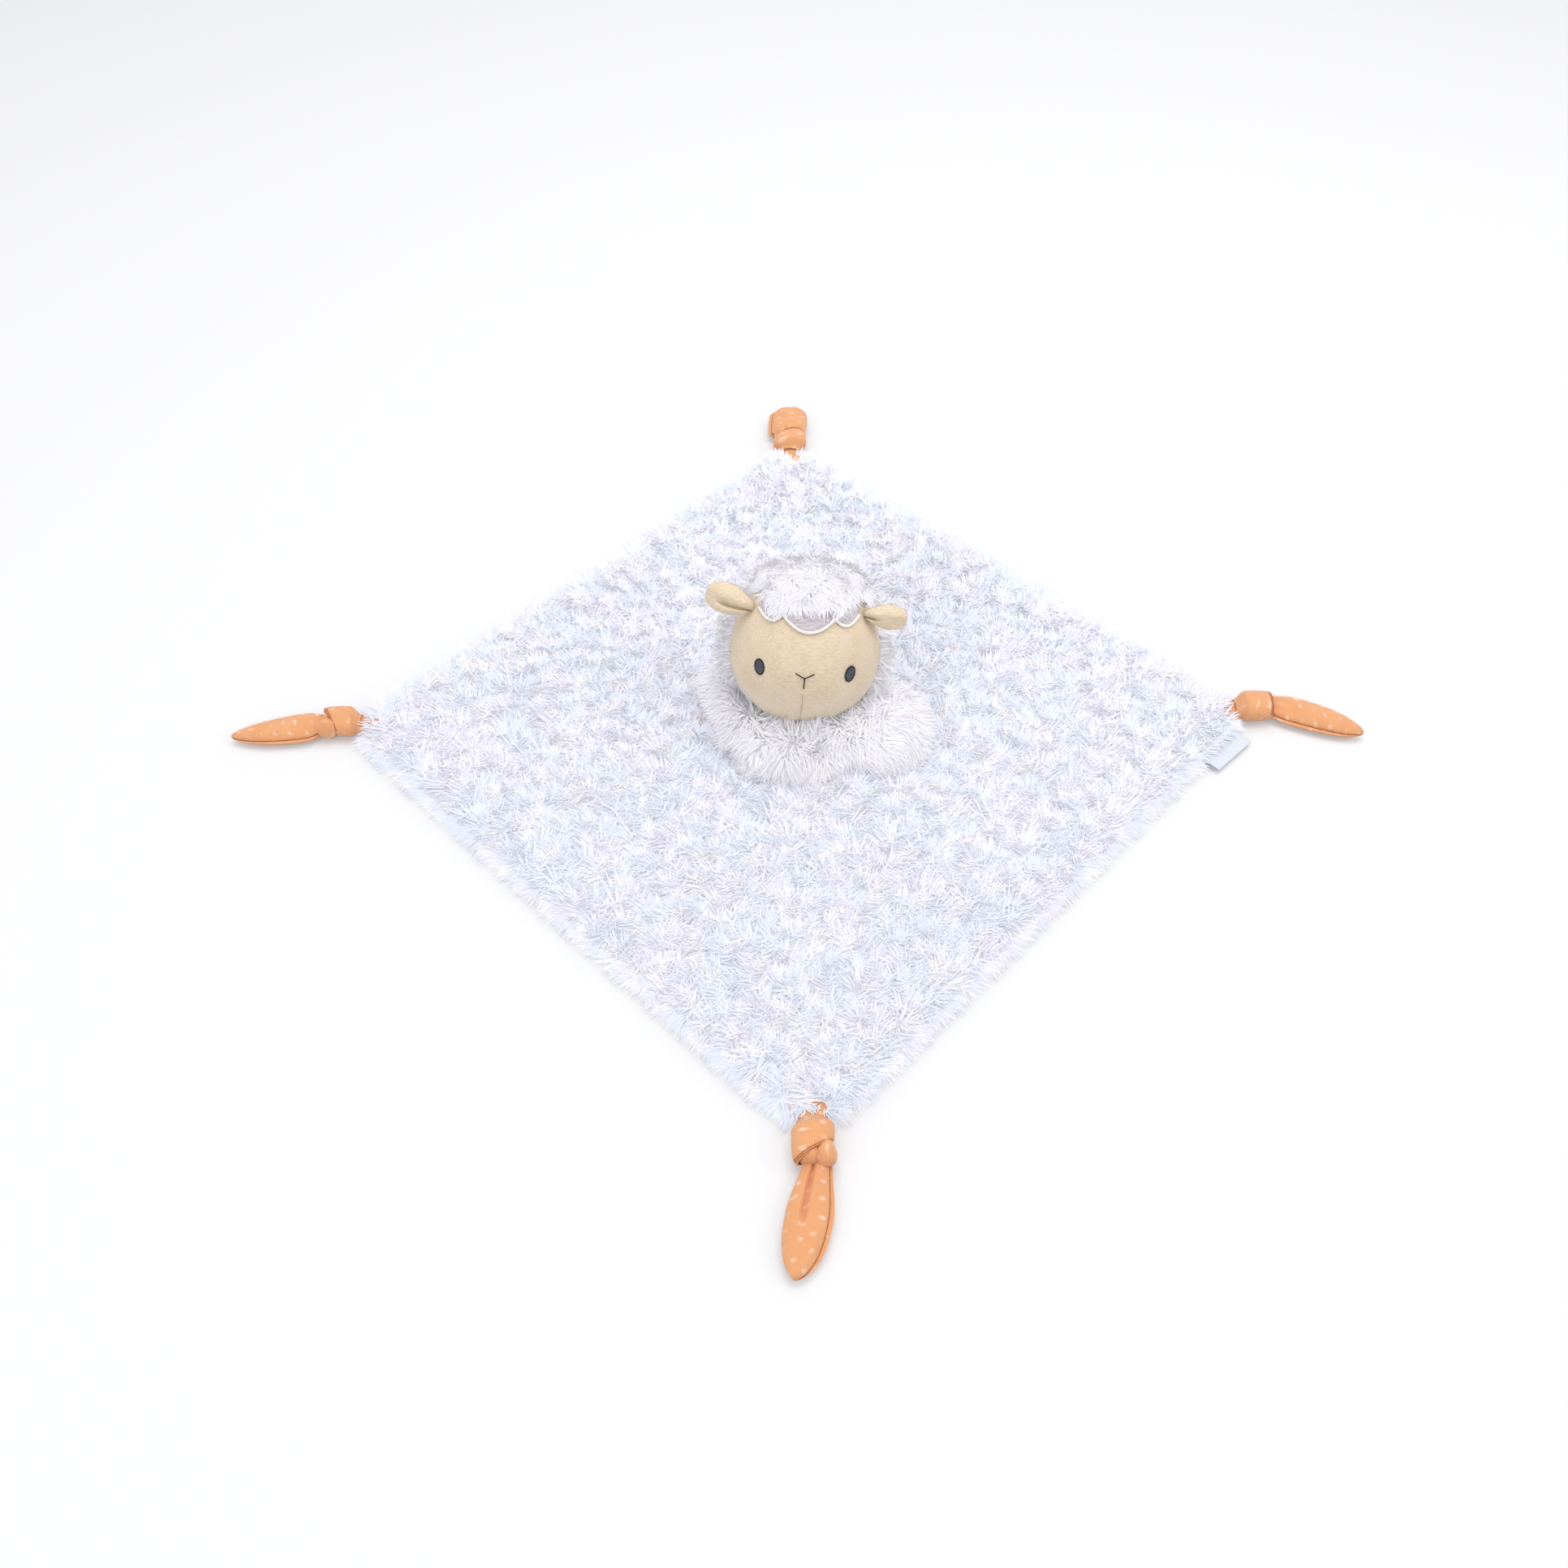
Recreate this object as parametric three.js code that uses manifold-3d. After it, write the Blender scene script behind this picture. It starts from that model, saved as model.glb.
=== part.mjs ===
// Comfort blanket lovey: a square plush blanket with a small stuffed lamb's head at its centre and a
// knotted jersey tie at each corner. Millimetres, +Z up. The origin is the centre of the face that the
// blanket rests on, its diagonals lie along X and Y, and the lamb looks towards -Y.
import * as THREE from "three";
import { mergeVertices } from "three/addons/utils/BufferGeometryUtils.js";
import Module from "manifold-3d";

const wasm = await Module();
wasm.setup();

// Cloth and clearances
const LAYER_GAP = 0.3; // between layers that are sewn together
const SEAT_GAP = 0.35; // between a curved piece and what carries it
const JOINT_GAP = 0.4; // between pieces that move on each other
const OVERRUN = 5; // how far a cutter passes what it cuts

// Blanket
const BLANKET_SIDE = 330; // seam to seam
const LINING_THICKNESS = 1.2;
const LINING_INSET = 5; // along the diagonal, from the corner
const PLUSH_THICKNESS = 7; // backing cloth and pile
const EDGE_ROLL = 8; // along the diagonal, where the plush rolls down to the seam
const EDGE_FLOAT = 0.4; // of the rolled edge above the floor
const SEAM_Z = 2.4; // height of the edge seam
const CORNER_CUT = 8; // where the tie takes the place of the corner
const GATHER_HEIGHT = 2.6; // folds that run out from the neck
const GATHER_RADIUS = 74;
const GATHER_REACH = 34;
const WAVE_HEIGHT = 1.1; // long soft waves in the cloth
const WAVE_LENGTH = 118;

// Neck
const NECK_RADIUS = 12.4;
const NECK_FLANGE_RADIUS = 17;
const NECK_FLANGE_THICKNESS = 1;
const PATCH_RADIUS = 30;
const PATCH_THICKNESS = 0.8;
const THREAD_RADIUS = 0.55; // of the gathering thread
const THREAD_SINK = 0.8; // how far the thread draws the neck in
const NOD_ROOM = 1.3; // how far the neck's rim stays under the head, so that the head can nod

// Head
const HEAD_WIDTH = 74;
const HEAD_DEPTH = 64;
const HEAD_HEIGHT = 75;
const HEAD_REST_Z = 49; // height of the head's centre above the floor
const HEAD_REST_Y = 4;
const HEAD_REST_X = 3;
const VELOUR_THICKNESS = 1.2;
const HOOD_RIM = 3.5; // pile of the hood beside the face
const HOOD_PILE = 6; // pile of the hood at the back
const HOOD_UNDER = 0.8; // pile pressed flat under the head
const BASE_DISC_RADIUS = 9;

// Hair, applique and trim
const HAIR_WIDTH = 62;
const HAIR_DEPTH = 52;
const HAIR_HEIGHT = 40;
const HAIR_FORWARD = 7; // of the hair's centre in front of the head's
const HAIR_UP = 29; // of the hair's centre above the head's
const APPLIQUE_THICKNESS = 0.9;
const APPLIQUE_TOP = 26;
const TRIM_RADIUS = 0.95;
const SCALLOP_HALF = 12.5; // half the width of the middle scallop
const SCALLOP_OUT = 24; // where the side scallops end
const SCALLOP_NOTCH_Z = 18;
const SCALLOP_MIDDLE_Z = 10.8;
const SCALLOP_SIDE_Z = 15;
const SCALLOP_END_Z = 20;

// Embroidery
const STITCH_LIFT = 0.3; // clearance under the stitches
const STITCH_THICKNESS = 0.7;
const EYE_SPACING = 43.6;
const EYE_Z = -7.7;
const EYE_WIDTH = 5;
const EYE_HEIGHT = 8;
const EYE_RIM = 0.65; // width of the outline thread
const NOSE_WIDTH = 8.2;
const NOSE_Z = -11; // where the Y forks
const NOSE_RISE = 2;
const NOSE_STEM = 4.6;
const NOSE_THREAD = 0.8;
const SEAM_TOP_Z = -16.8;
const SEAM_END_Z = -33;
const SEAM_THREAD = 0.6;

// Ears
const EAR_LENGTH = 24;
const EAR_WIDTH = 15;
const EAR_THICKNESS = 8.4;
const EAR_ROOT_RADIUS = 4.6;
const EAR_CLOTH = 1.1;
const EAR_STAND = 4; // of the ear's pivot off the face
const EAR_SPREAD = 28; // where the ear's seam meets the head, from the middle
const EAR_HEIGHT = 18.5;

// Collar: gathered plush round the neck
const COLLAR_HEIGHT = 21;
const COLLAR_REACH = 58; // from the neck's centre, before the folds
const COLLAR_FOLD = 6;
const COLLAR_SIDE_BULGE = 17; // the loose fold at the right front
const COLLAR_BORE = 16.5;
const COLLAR_SEAT = 0.8; // over the rolling surface of the blanket
const COLLAR_ROOM = 4.6; // round the head, for its nod and turn
const COLLAR_ROOM_DOWN = 2.4;

// Ties
const STUB_WIDTH = 13;
const STUB_LENGTH = 24;
const STUB_ROOT_THICKNESS = 2.4;
const STUB_TOP = 8;
const TIE_PIVOT_IN = 5; // of the knot's pivot inside the corner
const TIE_FLOAT = 0.3; // above the floor
const KNOT_START = 3.6; // from the pivot
const KNOT_LENGTH = 14;
const KNOT_WIDTH = 19;
const KNOT_HEIGHT = 13.5;
const WRAP_RADIUS = 6.4; // of the band that goes round the tie
const WRAP_TUBE = 3.2;
const TAIL_LENGTH = 46;
const TAIL_WIDTH = 17.5;
const TAIL_THICKNESS = 8;
const TAIL_GROOVE = 1.6;
const TAIL_OFFSET = 1.3; // of the lower panel beside the upper one
const CURLED_LENGTH = 25; // the rear tail, its tip tucked under
const CURLED_WIDTH = 23;
const CURLED_THICKNESS = 11;
const CURLED_NOTCH = 3.2;

// Label: a folded ribbon in the edge seam
const LABEL_WIDTH = 28;
const LABEL_REACH = 11.5;
const LABEL_CLOTH = 0.4;
const LABEL_LOOP_GAP = 0.5;
const LABEL_FROM_CORNER = 31;

// Angles, counts and shares
const HEAD_TILT = THREE.MathUtils.degToRad(38);
const HEAD_ROLL = THREE.MathUtils.degToRad(5.5);
const WRAP_SLANT = THREE.MathUtils.degToRad(24);
const LABEL_SKEW = THREE.MathUtils.degToRad(-3);
const FOLD_TURN = THREE.MathUtils.degToRad(126); // of the collar's folds
const BULGE_HEADING = THREE.MathUtils.degToRad(-18);
const BULGE_SPREAD = THREE.MathUtils.degToRad(29);
const FLOP_UP = THREE.MathUtils.degToRad(20); // of the ears
const FLOP_DOWN = THREE.MathUtils.degToRad(-30);
const EAR_RAISE_LEFT = THREE.MathUtils.degToRad(14.5);
const EAR_RAISE_RIGHT = THREE.MathUtils.degToRad(-3);
const TAIL_YAW_RIGHT = THREE.MathUtils.degToRad(-26);
const TAIL_YAW_REAR = THREE.MathUtils.degToRad(-4);
const TAIL_YAW_LEFT = THREE.MathUtils.degToRad(10);
const TAIL_YAW_FRONT = THREE.MathUtils.degToRad(-12);
const SPOKES = 48;
const HEAD_COLUMNS = 26;
const HEAD_ROWS = 14;
const COLLAR_COLUMNS = 44;
const COLLAR_SIDES = 9;
const GATHER_COUNT = 7;
const COLLAR_FOLDS = 4;
const CHIN_TAPER_SHARE = 0.06;
const CHEEK_SHARE = 0.05;
const FADE_START_SHARE = 0.7; // of the half diagonal, where the folds die out
const FADE_END_SHARE = 0.95;
const HOOD_BACK_SHARE = 0.5; // of the head's half depth, where the hood's pile is full
const HOOD_UNDER_SHARE = -0.65; // of the head's half height, below which the pile is flat
const HOOD_FULL_SHARE = -0.2;
const FACE_EDGE_SHARE = 0.05; // of the half depth, how far the hood's room reaches over the face
const HAIR_LUMP_SHARE = 0.05;
const EAR_FULL_SHARE = 0.6; // along the ear, where it is at its widest
const EAR_TIP_SHARE = 0.75; // thickness of the ear's tip
const COLLAR_TUBE_SHARE = 0.4;
const COLLAR_SWAY_SHARE = 0.4; // how much deeper the folds are behind
const COLLAR_BACK_SHARE = 0.2; // how much shorter the collar is behind
const COLLAR_CREST_SHARE = 0.18; // how far its crest dips between the folds
const KNOT_CORE_SHARE = 0.385; // half widths of the knot's core, as shares of its width and height
const KNOT_CORE_RISE_SHARE = 0.43;
const LOOP_LENGTH_SHARE = 0.36; // half sizes of the loop at the knot's side
const LOOP_WIDTH_SHARE = 0.3;
const LOOP_HEIGHT_SHARE = 0.39;
const LOOP_OUT_SHARE = 0.24;
const LOOP_MIDDLE_SHARE = 0.43;
const WRAP_HEIGHT_SHARE = 0.7; // how high the band stands, as a share of its radius
const TAIL_ROOT_SHARE = 0.52; // width of the tail at its root
const TAIL_FULL_SHARE = 0.6; // along the tail, where it is at its widest
const GROOVE_MIDDLE_SHARE = 0.35; // along the tail
const GROOVE_REACH_SHARE = 0.25;
const GROOVE_WIDTH_SHARE = 0.3;
const NOTCH_WIDTH_SHARE = 0.4;
const ringShares = [0.075, 0.14, 0.22, 0.3, 0.38, 0.5, 0.64, 0.82];
const rollShares = [0.35, 0.7, 1];

// Colours
const PLUSH = 0xecedf7;
const CREAM_PLUSH = 0xefecec;
const VELOUR = 0xe5d2b6;
const JERSEY = 0xecaf84;
const LILAC = 0xcfc7cb;
const SATIN = 0xf7f2ea;
const EYE_GREY = 0x5f5d66;
const DARK_THREAD = 0x26252b;
const FIBRE = 0xf3f3f0;
const INTERFACING = 0xe6e6e2;

// Heights and places that follow from the sizes
const HALF_DIAGONAL = BLANKET_SIDE / Math.SQRT2;
const PATCH_Z = LINING_THICKNESS + LAYER_GAP;
const FLANGE_Z = PATCH_Z + PATCH_THICKNESS + LAYER_GAP;
const PLUSH_TOP = PATCH_Z + PLUSH_THICKNESS;
const TIE_PIVOT = HALF_DIAGONAL - TIE_PIVOT_IN;
const TAIL_PIVOT = KNOT_START + KNOT_LENGTH + JOINT_GAP;

const { clamp, lerp, smoothstep } = THREE.MathUtils;
const bell = (value) => Math.exp(-value * value);

// A closed geometry as a solid, with its shared corners merged and its faces turned outward.
function solidOf(geometry) {
  const bare = geometry.clone();
  bare.deleteAttribute("normal");
  bare.deleteAttribute("uv");
  const merged = mergeVertices(bare);
  const vertProperties = merged.attributes.position.array;
  const triVerts = new Uint32Array(merged.index.array);
  const made = new wasm.Manifold(new wasm.Mesh({ numProp: 3, vertProperties, triVerts }));
  if (made.volume() > 0) return made;
  for (let i = 0; i < triVerts.length; i += 3) {
    [triVerts[i + 1], triVerts[i + 2]] = [triVerts[i + 2], triVerts[i + 1]];
  }
  return new wasm.Manifold(new wasm.Mesh({ numProp: 3, vertProperties, triVerts }));
}

function geometryOf(solid) {
  const mesh = solid.getMesh();
  const geometry = new THREE.BufferGeometry();
  geometry.setAttribute("position", new THREE.BufferAttribute(mesh.vertProperties, 3));
  geometry.setIndex(new THREE.BufferAttribute(mesh.triVerts, 1));
  geometry.computeVertexNormals();
  return geometry;
}

// Moves each point of a geometry by a function that changes the vector it is given.
function reshape(geometry, move) {
  const points = geometry.attributes.position;
  const point = new THREE.Vector3();
  for (let i = 0; i < points.count; i++) {
    point.fromBufferAttribute(points, i);
    move(point);
    points.setXYZ(i, point.x, point.y, point.z);
  }
  return geometry;
}

// A unit ball with its poles at the top and the bottom.
const ball = (columns, rows) => new THREE.SphereGeometry(1, columns, rows).rotateX(Math.PI / 2);

function addMesh(group, name, solid, colour, roughness) {
  const material = new THREE.MeshStandardMaterial({ color: colour, roughness, metalness: 0 });
  const mesh = new THREE.Mesh(geometryOf(solid), material);
  mesh.name = name;
  group.add(mesh);
}

// Blanket

// The square's outline as a share of the half diagonal, with each corner cut off for its tie.
function outlineShare(angle) {
  const along = Math.abs(Math.cos(angle));
  const across = Math.abs(Math.sin(angle));
  return Math.min(1 / (along + across), (1 - CORNER_CUT / HALF_DIAGONAL) / Math.max(along, across));
}

// Round near the neck, square at the edge.
function squared(radius, angle) {
  const share = smoothstep(radius, PATCH_RADIUS + OVERRUN, HALF_DIAGONAL / 2);
  return radius * lerp(1, outlineShare(angle), share);
}

// The plush surface: gathers that fade out from the neck, and long waves that die out at the edge.
function plushHeight(x, y) {
  const radius = Math.hypot(x, y);
  const angle = Math.atan2(y, x);
  const gather = (1 + Math.cos(GATHER_COUNT * angle + 1)) / 2;
  const ring = bell((radius - GATHER_RADIUS) / GATHER_REACH);
  const out = (Math.abs(x) + Math.abs(y)) / HALF_DIAGONAL;
  const inside = 1 - smoothstep(out, FADE_START_SHARE, FADE_END_SHARE);
  const wave = Math.sin((2 * Math.PI * (x + y / 3)) / WAVE_LENGTH) * smoothstep(radius, NECK_RADIUS, GATHER_RADIUS);
  return PLUSH_TOP + inside * (GATHER_HEIGHT * gather * ring + WAVE_HEIGHT * wave);
}

// A lathe about Z whose round rings are pulled out to the square.
function squareLathe(profile) {
  const points = profile.map(([radius, height]) => new THREE.Vector2(radius, height));
  return reshape(new THREE.LatheGeometry(points, SPOKES).rotateX(Math.PI / 2), (p) => {
    const angle = Math.atan2(p.y, p.x);
    const radius = squared(Math.hypot(p.x, p.y), angle);
    p.x = radius * Math.cos(angle);
    p.y = radius * Math.sin(angle);
  });
}

function makeLining() {
  const edge = HALF_DIAGONAL - LINING_INSET;
  return solidOf(squareLathe([[0, 0], [edge, 0], [edge, LINING_THICKNESS], [0, LINING_THICKNESS]]));
}

function makePlushTop() {
  const bore = NECK_RADIUS + JOINT_GAP;
  const overFlange = FLANGE_Z + NECK_FLANGE_THICKNESS + LAYER_GAP;
  const flangeStep = NECK_FLANGE_RADIUS + JOINT_GAP;
  const patchStep = PATCH_RADIUS + JOINT_GAP;
  const seamStep = HALF_DIAGONAL - LINING_INSET + 2 * LAYER_GAP;
  const rollStart = HALF_DIAGONAL - EDGE_ROLL;
  const underside = [
    [bore, overFlange], [flangeStep, overFlange], [flangeStep, FLANGE_Z], [patchStep, FLANGE_Z],
    [patchStep, PATCH_Z], [seamStep, PATCH_Z], [seamStep, EDGE_FLOAT],
  ];
  const roll = rollShares.map((share) => {
    const turn = share * Math.PI / 2;
    return [rollStart + EDGE_ROLL * Math.cos(turn), SEAM_Z + (PLUSH_TOP - SEAM_Z) * Math.sin(turn)];
  });
  const top = ringShares.map((share) => [Math.max(share * HALF_DIAGONAL, bore), PLUSH_TOP]).reverse();
  const profile = [...underside, [HALF_DIAGONAL, SEAM_Z], ...roll, ...top, underside[0]];
  const sheet = reshape(squareLathe(profile), (p) => {
    if (p.z > PLUSH_TOP - LAYER_GAP) p.z = plushHeight(p.x, p.y);
  });
  return solidOf(sheet);
}

// Neck

function disc(radius, low, high) {
  return solidOf(
    new THREE.CylinderGeometry(radius, radius, high - low, SPOKES / 2)
      .rotateX(Math.PI / 2)
      .translate(0, 0, (low + high) / 2),
  );
}

// The gathered tube through the blanket. Its pucker touches the head's base, and its rim stays lower.
function makeNeck(top) {
  const rim = top - NOD_ROOM;
  const waist = rim - 3 * THREAD_RADIUS;
  const flangeTop = FLANGE_Z + NECK_FLANGE_THICKNESS;
  const groove = THREAD_RADIUS + LAYER_GAP;
  const threadRing = NECK_RADIUS - THREAD_SINK + THREAD_RADIUS;
  const profile = [
    [0, FLANGE_Z], [NECK_FLANGE_RADIUS, FLANGE_Z], [NECK_FLANGE_RADIUS, flangeTop],
    [NECK_RADIUS, flangeTop], [NECK_RADIUS, waist - groove],
    [threadRing - groove, waist - groove], [threadRing - groove, waist + groove],
    [NECK_RADIUS - THREAD_RADIUS, rim], [NECK_RADIUS / 3, rim], [0, top],
  ].map(([radius, height]) => new THREE.Vector2(radius, height));
  const stem = solidOf(new THREE.LatheGeometry(profile, SPOKES / 2).rotateX(Math.PI / 2));
  const thread = new THREE.TorusGeometry(threadRing, THREAD_RADIUS, 5, SPOKES / 2);
  return { stem, thread: solidOf(thread.translate(0, 0, waist)) };
}

// Head

// Width and depth narrow towards the chin, and the cheeks are a little full.
function chinShare(z) {
  const below = Math.max(-z, 0);
  return 1 - CHIN_TAPER_SHARE * below ** 3 + CHEEK_SHARE * below * (1 - below);
}

// The head's outside, raised by a lift that may change over the unit ball.
function headForm(lift, columns = HEAD_COLUMNS, rows = HEAD_ROWS) {
  return reshape(ball(columns, rows), (p) => {
    const raise = typeof lift === "number" ? lift : lift(p);
    const share = chinShare(p.z);
    p.x *= (HEAD_WIDTH / 2) * share + raise;
    p.y *= (HEAD_DEPTH / 2) * share + raise;
    p.z *= HEAD_HEIGHT / 2 + raise;
  });
}

// The hood's pile: thin at the rim beside the face, full at the back, pressed flat underneath.
function hoodLift(p) {
  const full = lerp(HOOD_RIM, HOOD_PILE, smoothstep(p.y, 0, HOOD_BACK_SHARE));
  return lerp(HOOD_UNDER, full, smoothstep(p.z, HOOD_UNDER_SHARE, HOOD_FULL_SHARE));
}

// How far in front of the head's centre its face lies at a point of the front view.
function faceDepth(x, z, lift) {
  const up = clamp(z / (HEAD_HEIGHT / 2 + lift), -1, 1);
  const side = x / ((HEAD_WIDTH / 2) * chinShare(up) + lift);
  return ((HEAD_DEPTH / 2) * chinShare(up) + lift) * Math.sqrt(Math.max(1 - side * side - up * up, 0));
}

// A prism that runs forward through the face, from an outline in the front view.
function facePrism(outline) {
  return solidOf(
    new THREE.ExtrudeGeometry(outline, { depth: HEAD_DEPTH, bevelEnabled: false, curveSegments: 10 })
      .rotateX(Math.PI / 2),
  );
}

const faceLayer = (lift, thickness) => solidOf(headForm(lift + thickness)).subtract(solidOf(headForm(lift)));

// A stitched bar between two points of the front view.
function bar(x0, z0, x1, z1, width) {
  const along = new THREE.Vector2(x1 - x0, z1 - z0).normalize();
  const side = new THREE.Vector2(-along.y, along.x).multiplyScalar(width / 2);
  return new THREE.Shape([
    new THREE.Vector2(x0 - side.x, z0 - side.y),
    new THREE.Vector2(x1 - side.x, z1 - side.y),
    new THREE.Vector2(x1 + side.x, z1 + side.y),
    new THREE.Vector2(x0 + side.x, z0 + side.y),
  ]);
}

function ellipse(x, z, width, height) {
  return new THREE.Shape().absellipse(x, z, width / 2, height / 2, 0, 2 * Math.PI);
}

// One scallop between two ends, sagging to a lowest point, in the front view.
function scallop(x0, z0, x1, z1, lowest) {
  const middle = (x0 + x1) / 2;
  const pull = 2 * lowest - (z0 + z1) / 2;
  return new THREE.QuadraticBezierCurve(
    new THREE.Vector2(x0, z0),
    new THREE.Vector2(middle, pull),
    new THREE.Vector2(x1, z1),
  );
}

const scallops = [
  scallop(-SCALLOP_OUT, SCALLOP_END_Z, -SCALLOP_HALF, SCALLOP_NOTCH_Z, SCALLOP_SIDE_Z),
  scallop(-SCALLOP_HALF, SCALLOP_NOTCH_Z, SCALLOP_HALF, SCALLOP_NOTCH_Z, SCALLOP_MIDDLE_Z),
  scallop(SCALLOP_HALF, SCALLOP_NOTCH_Z, SCALLOP_OUT, SCALLOP_END_Z, SCALLOP_SIDE_Z),
];

// The satin-stitch cord along the scallops, lying on the face.
function scallopCord(radius) {
  const circle = new THREE.Shape().absarc(0, 0, radius, 0, 2 * Math.PI);
  const cords = scallops.map((curve) => {
    const points = curve.getPoints(6).map(({ x, y }) => {
      const lift = STITCH_LIFT + TRIM_RADIUS + LAYER_GAP / 2;
      return new THREE.Vector3(x, -faceDepth(x, y, lift), y);
    });
    const path = new THREE.CatmullRomCurve3(points);
    return solidOf(new THREE.ExtrudeGeometry(circle, { steps: 10, curveSegments: 3, extrudePath: path }));
  });
  return cords.reduce((all, cord) => all.add(cord));
}

function makeApplique() {
  const outline = new THREE.Shape(scallops.flatMap((curve) => curve.getPoints(5)));
  outline.lineTo(SCALLOP_OUT, APPLIQUE_TOP);
  outline.lineTo(-SCALLOP_OUT, APPLIQUE_TOP);
  return faceLayer(STITCH_LIFT, APPLIQUE_THICKNESS)
    .intersect(facePrism(outline))
    .subtract(scallopCord(TRIM_RADIUS + SEAT_GAP));
}

function makeHair(hood, ears) {
  const tuft = reshape(ball(18, 10), (p) => {
    const angle = Math.atan2(p.y, p.x);
    const locks = Math.sin(5 * angle) * (1 - p.z * p.z) + Math.sin(3 * angle + 1);
    const lump = 1 + HAIR_LUMP_SHARE * locks;
    p.x *= (HAIR_WIDTH / 2) * lump;
    p.y = p.y * (HAIR_DEPTH / 2) * lump - HAIR_FORWARD;
    p.z = (p.z * HAIR_HEIGHT) / 2 + HAIR_UP;
  });
  const clearOfFace = solidOf(headForm(STITCH_LIFT + APPLIQUE_THICKNESS + SEAT_GAP));
  const cap = solidOf(tuft).subtract(clearOfFace).subtract(hood).subtract(ears);
  return cap.subtract(scallopCord(TRIM_RADIUS + SEAT_GAP));
}

// The part of a solid on one side of the head's front-to-back seam.
function halfSpace(side) {
  const reach = HEAD_WIDTH + OVERRUN;
  const box = new THREE.BoxGeometry(2 * reach, reach, 2 * reach);
  return solidOf(box.translate(0, side * (reach / 2 + LAYER_GAP / 2), 0));
}

// Ears

// A rounded leaf that lies along X from its root, wider beyond the middle, and thin in Y.
function earForm(lift) {
  return reshape(ball(10, 8).rotateY(Math.PI / 2), (p) => {
    const along = (p.x + 1) / 2;
    const widen = lerp((2 * EAR_ROOT_RADIUS) / EAR_WIDTH, 1, smoothstep(along, 0, EAR_FULL_SHARE));
    p.x = (EAR_LENGTH / 2 + lift) * p.x + EAR_LENGTH / 2 - EAR_ROOT_RADIUS;
    p.z *= (EAR_WIDTH / 2) * widen + lift;
    p.y *= (EAR_THICKNESS / 2) * lerp(1, EAR_TIP_SHARE, along) + lift;
  });
}

function makeEar() {
  const skin = solidOf(earForm(0)).subtract(solidOf(earForm(-EAR_CLOTH)));
  return {
    front: skin.intersect(halfSpace(-1)),
    back: skin.intersect(halfSpace(1)),
    filling: solidOf(earForm(-EAR_CLOTH - SEAT_GAP)),
  };
}

// Collar

// How far the gathered plush reaches from the neck: deep folds, and a loose one at the right front.
function collarReach(angle) {
  const sway = 1 + COLLAR_SWAY_SHARE * Math.sin(angle);
  const folds = COLLAR_FOLD * (Math.cos(COLLAR_FOLDS * angle + FOLD_TURN) * sway - 1);
  const bulge = COLLAR_SIDE_BULGE * bell((angle - BULGE_HEADING) / BULGE_SPREAD);
  const behind = 1 - COLLAR_BACK_SHARE * smoothstep(Math.sin(angle), 0, 1);
  return (COLLAR_REACH + folds + bulge) * behind;
}

function makeCollar(headRoom) {
  const ring = new THREE.TorusGeometry(1, COLLAR_TUBE_SHARE, COLLAR_SIDES, COLLAR_COLUMNS);
  const ruff = reshape(ring, (p) => {
    const angle = Math.atan2(p.y, p.x);
    const out = (Math.hypot(p.x, p.y) - 1) / COLLAR_TUBE_SHARE;
    const up = Math.max(p.z, 0) / COLLAR_TUBE_SHARE;
    const radius = lerp(COLLAR_BORE, collarReach(angle), (out + 1) / 2);
    p.x = radius * Math.cos(angle);
    p.y = radius * Math.sin(angle);
    const dip = (1 + Math.cos(GATHER_COUNT * angle)) / 2;
    p.z = plushHeight(p.x, p.y) + COLLAR_SEAT + up * COLLAR_HEIGHT * (1 - COLLAR_CREST_SHARE * dip);
  });
  return solidOf(ruff).subtract(headRoom);
}

// Ties

// The sewn end of a tie: thin between the blanket's layers, full outside, round about the knot's pivot.
function stubForm(lift) {
  const radius = STUB_WIDTH / 2 + lift;
  const length = STUB_LENGTH - STUB_WIDTH;
  const capsule = new THREE.CapsuleGeometry(radius, length, 4, 10).rotateZ(Math.PI / 2);
  return reshape(capsule.translate(-length / 2, 0, 0), (p) => {
    const outside = smoothstep(p.x, CORNER_CUT / 2 - STUB_WIDTH, 0);
    const low = lerp(PATCH_Z, TIE_FLOAT, outside) - Math.min(lift, LAYER_GAP);
    const high = lerp(PATCH_Z + STUB_ROOT_THICKNESS, STUB_TOP, outside) + lift;
    p.z = lerp(low, high, (p.z / radius + 1) / 2);
  });
}

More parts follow.
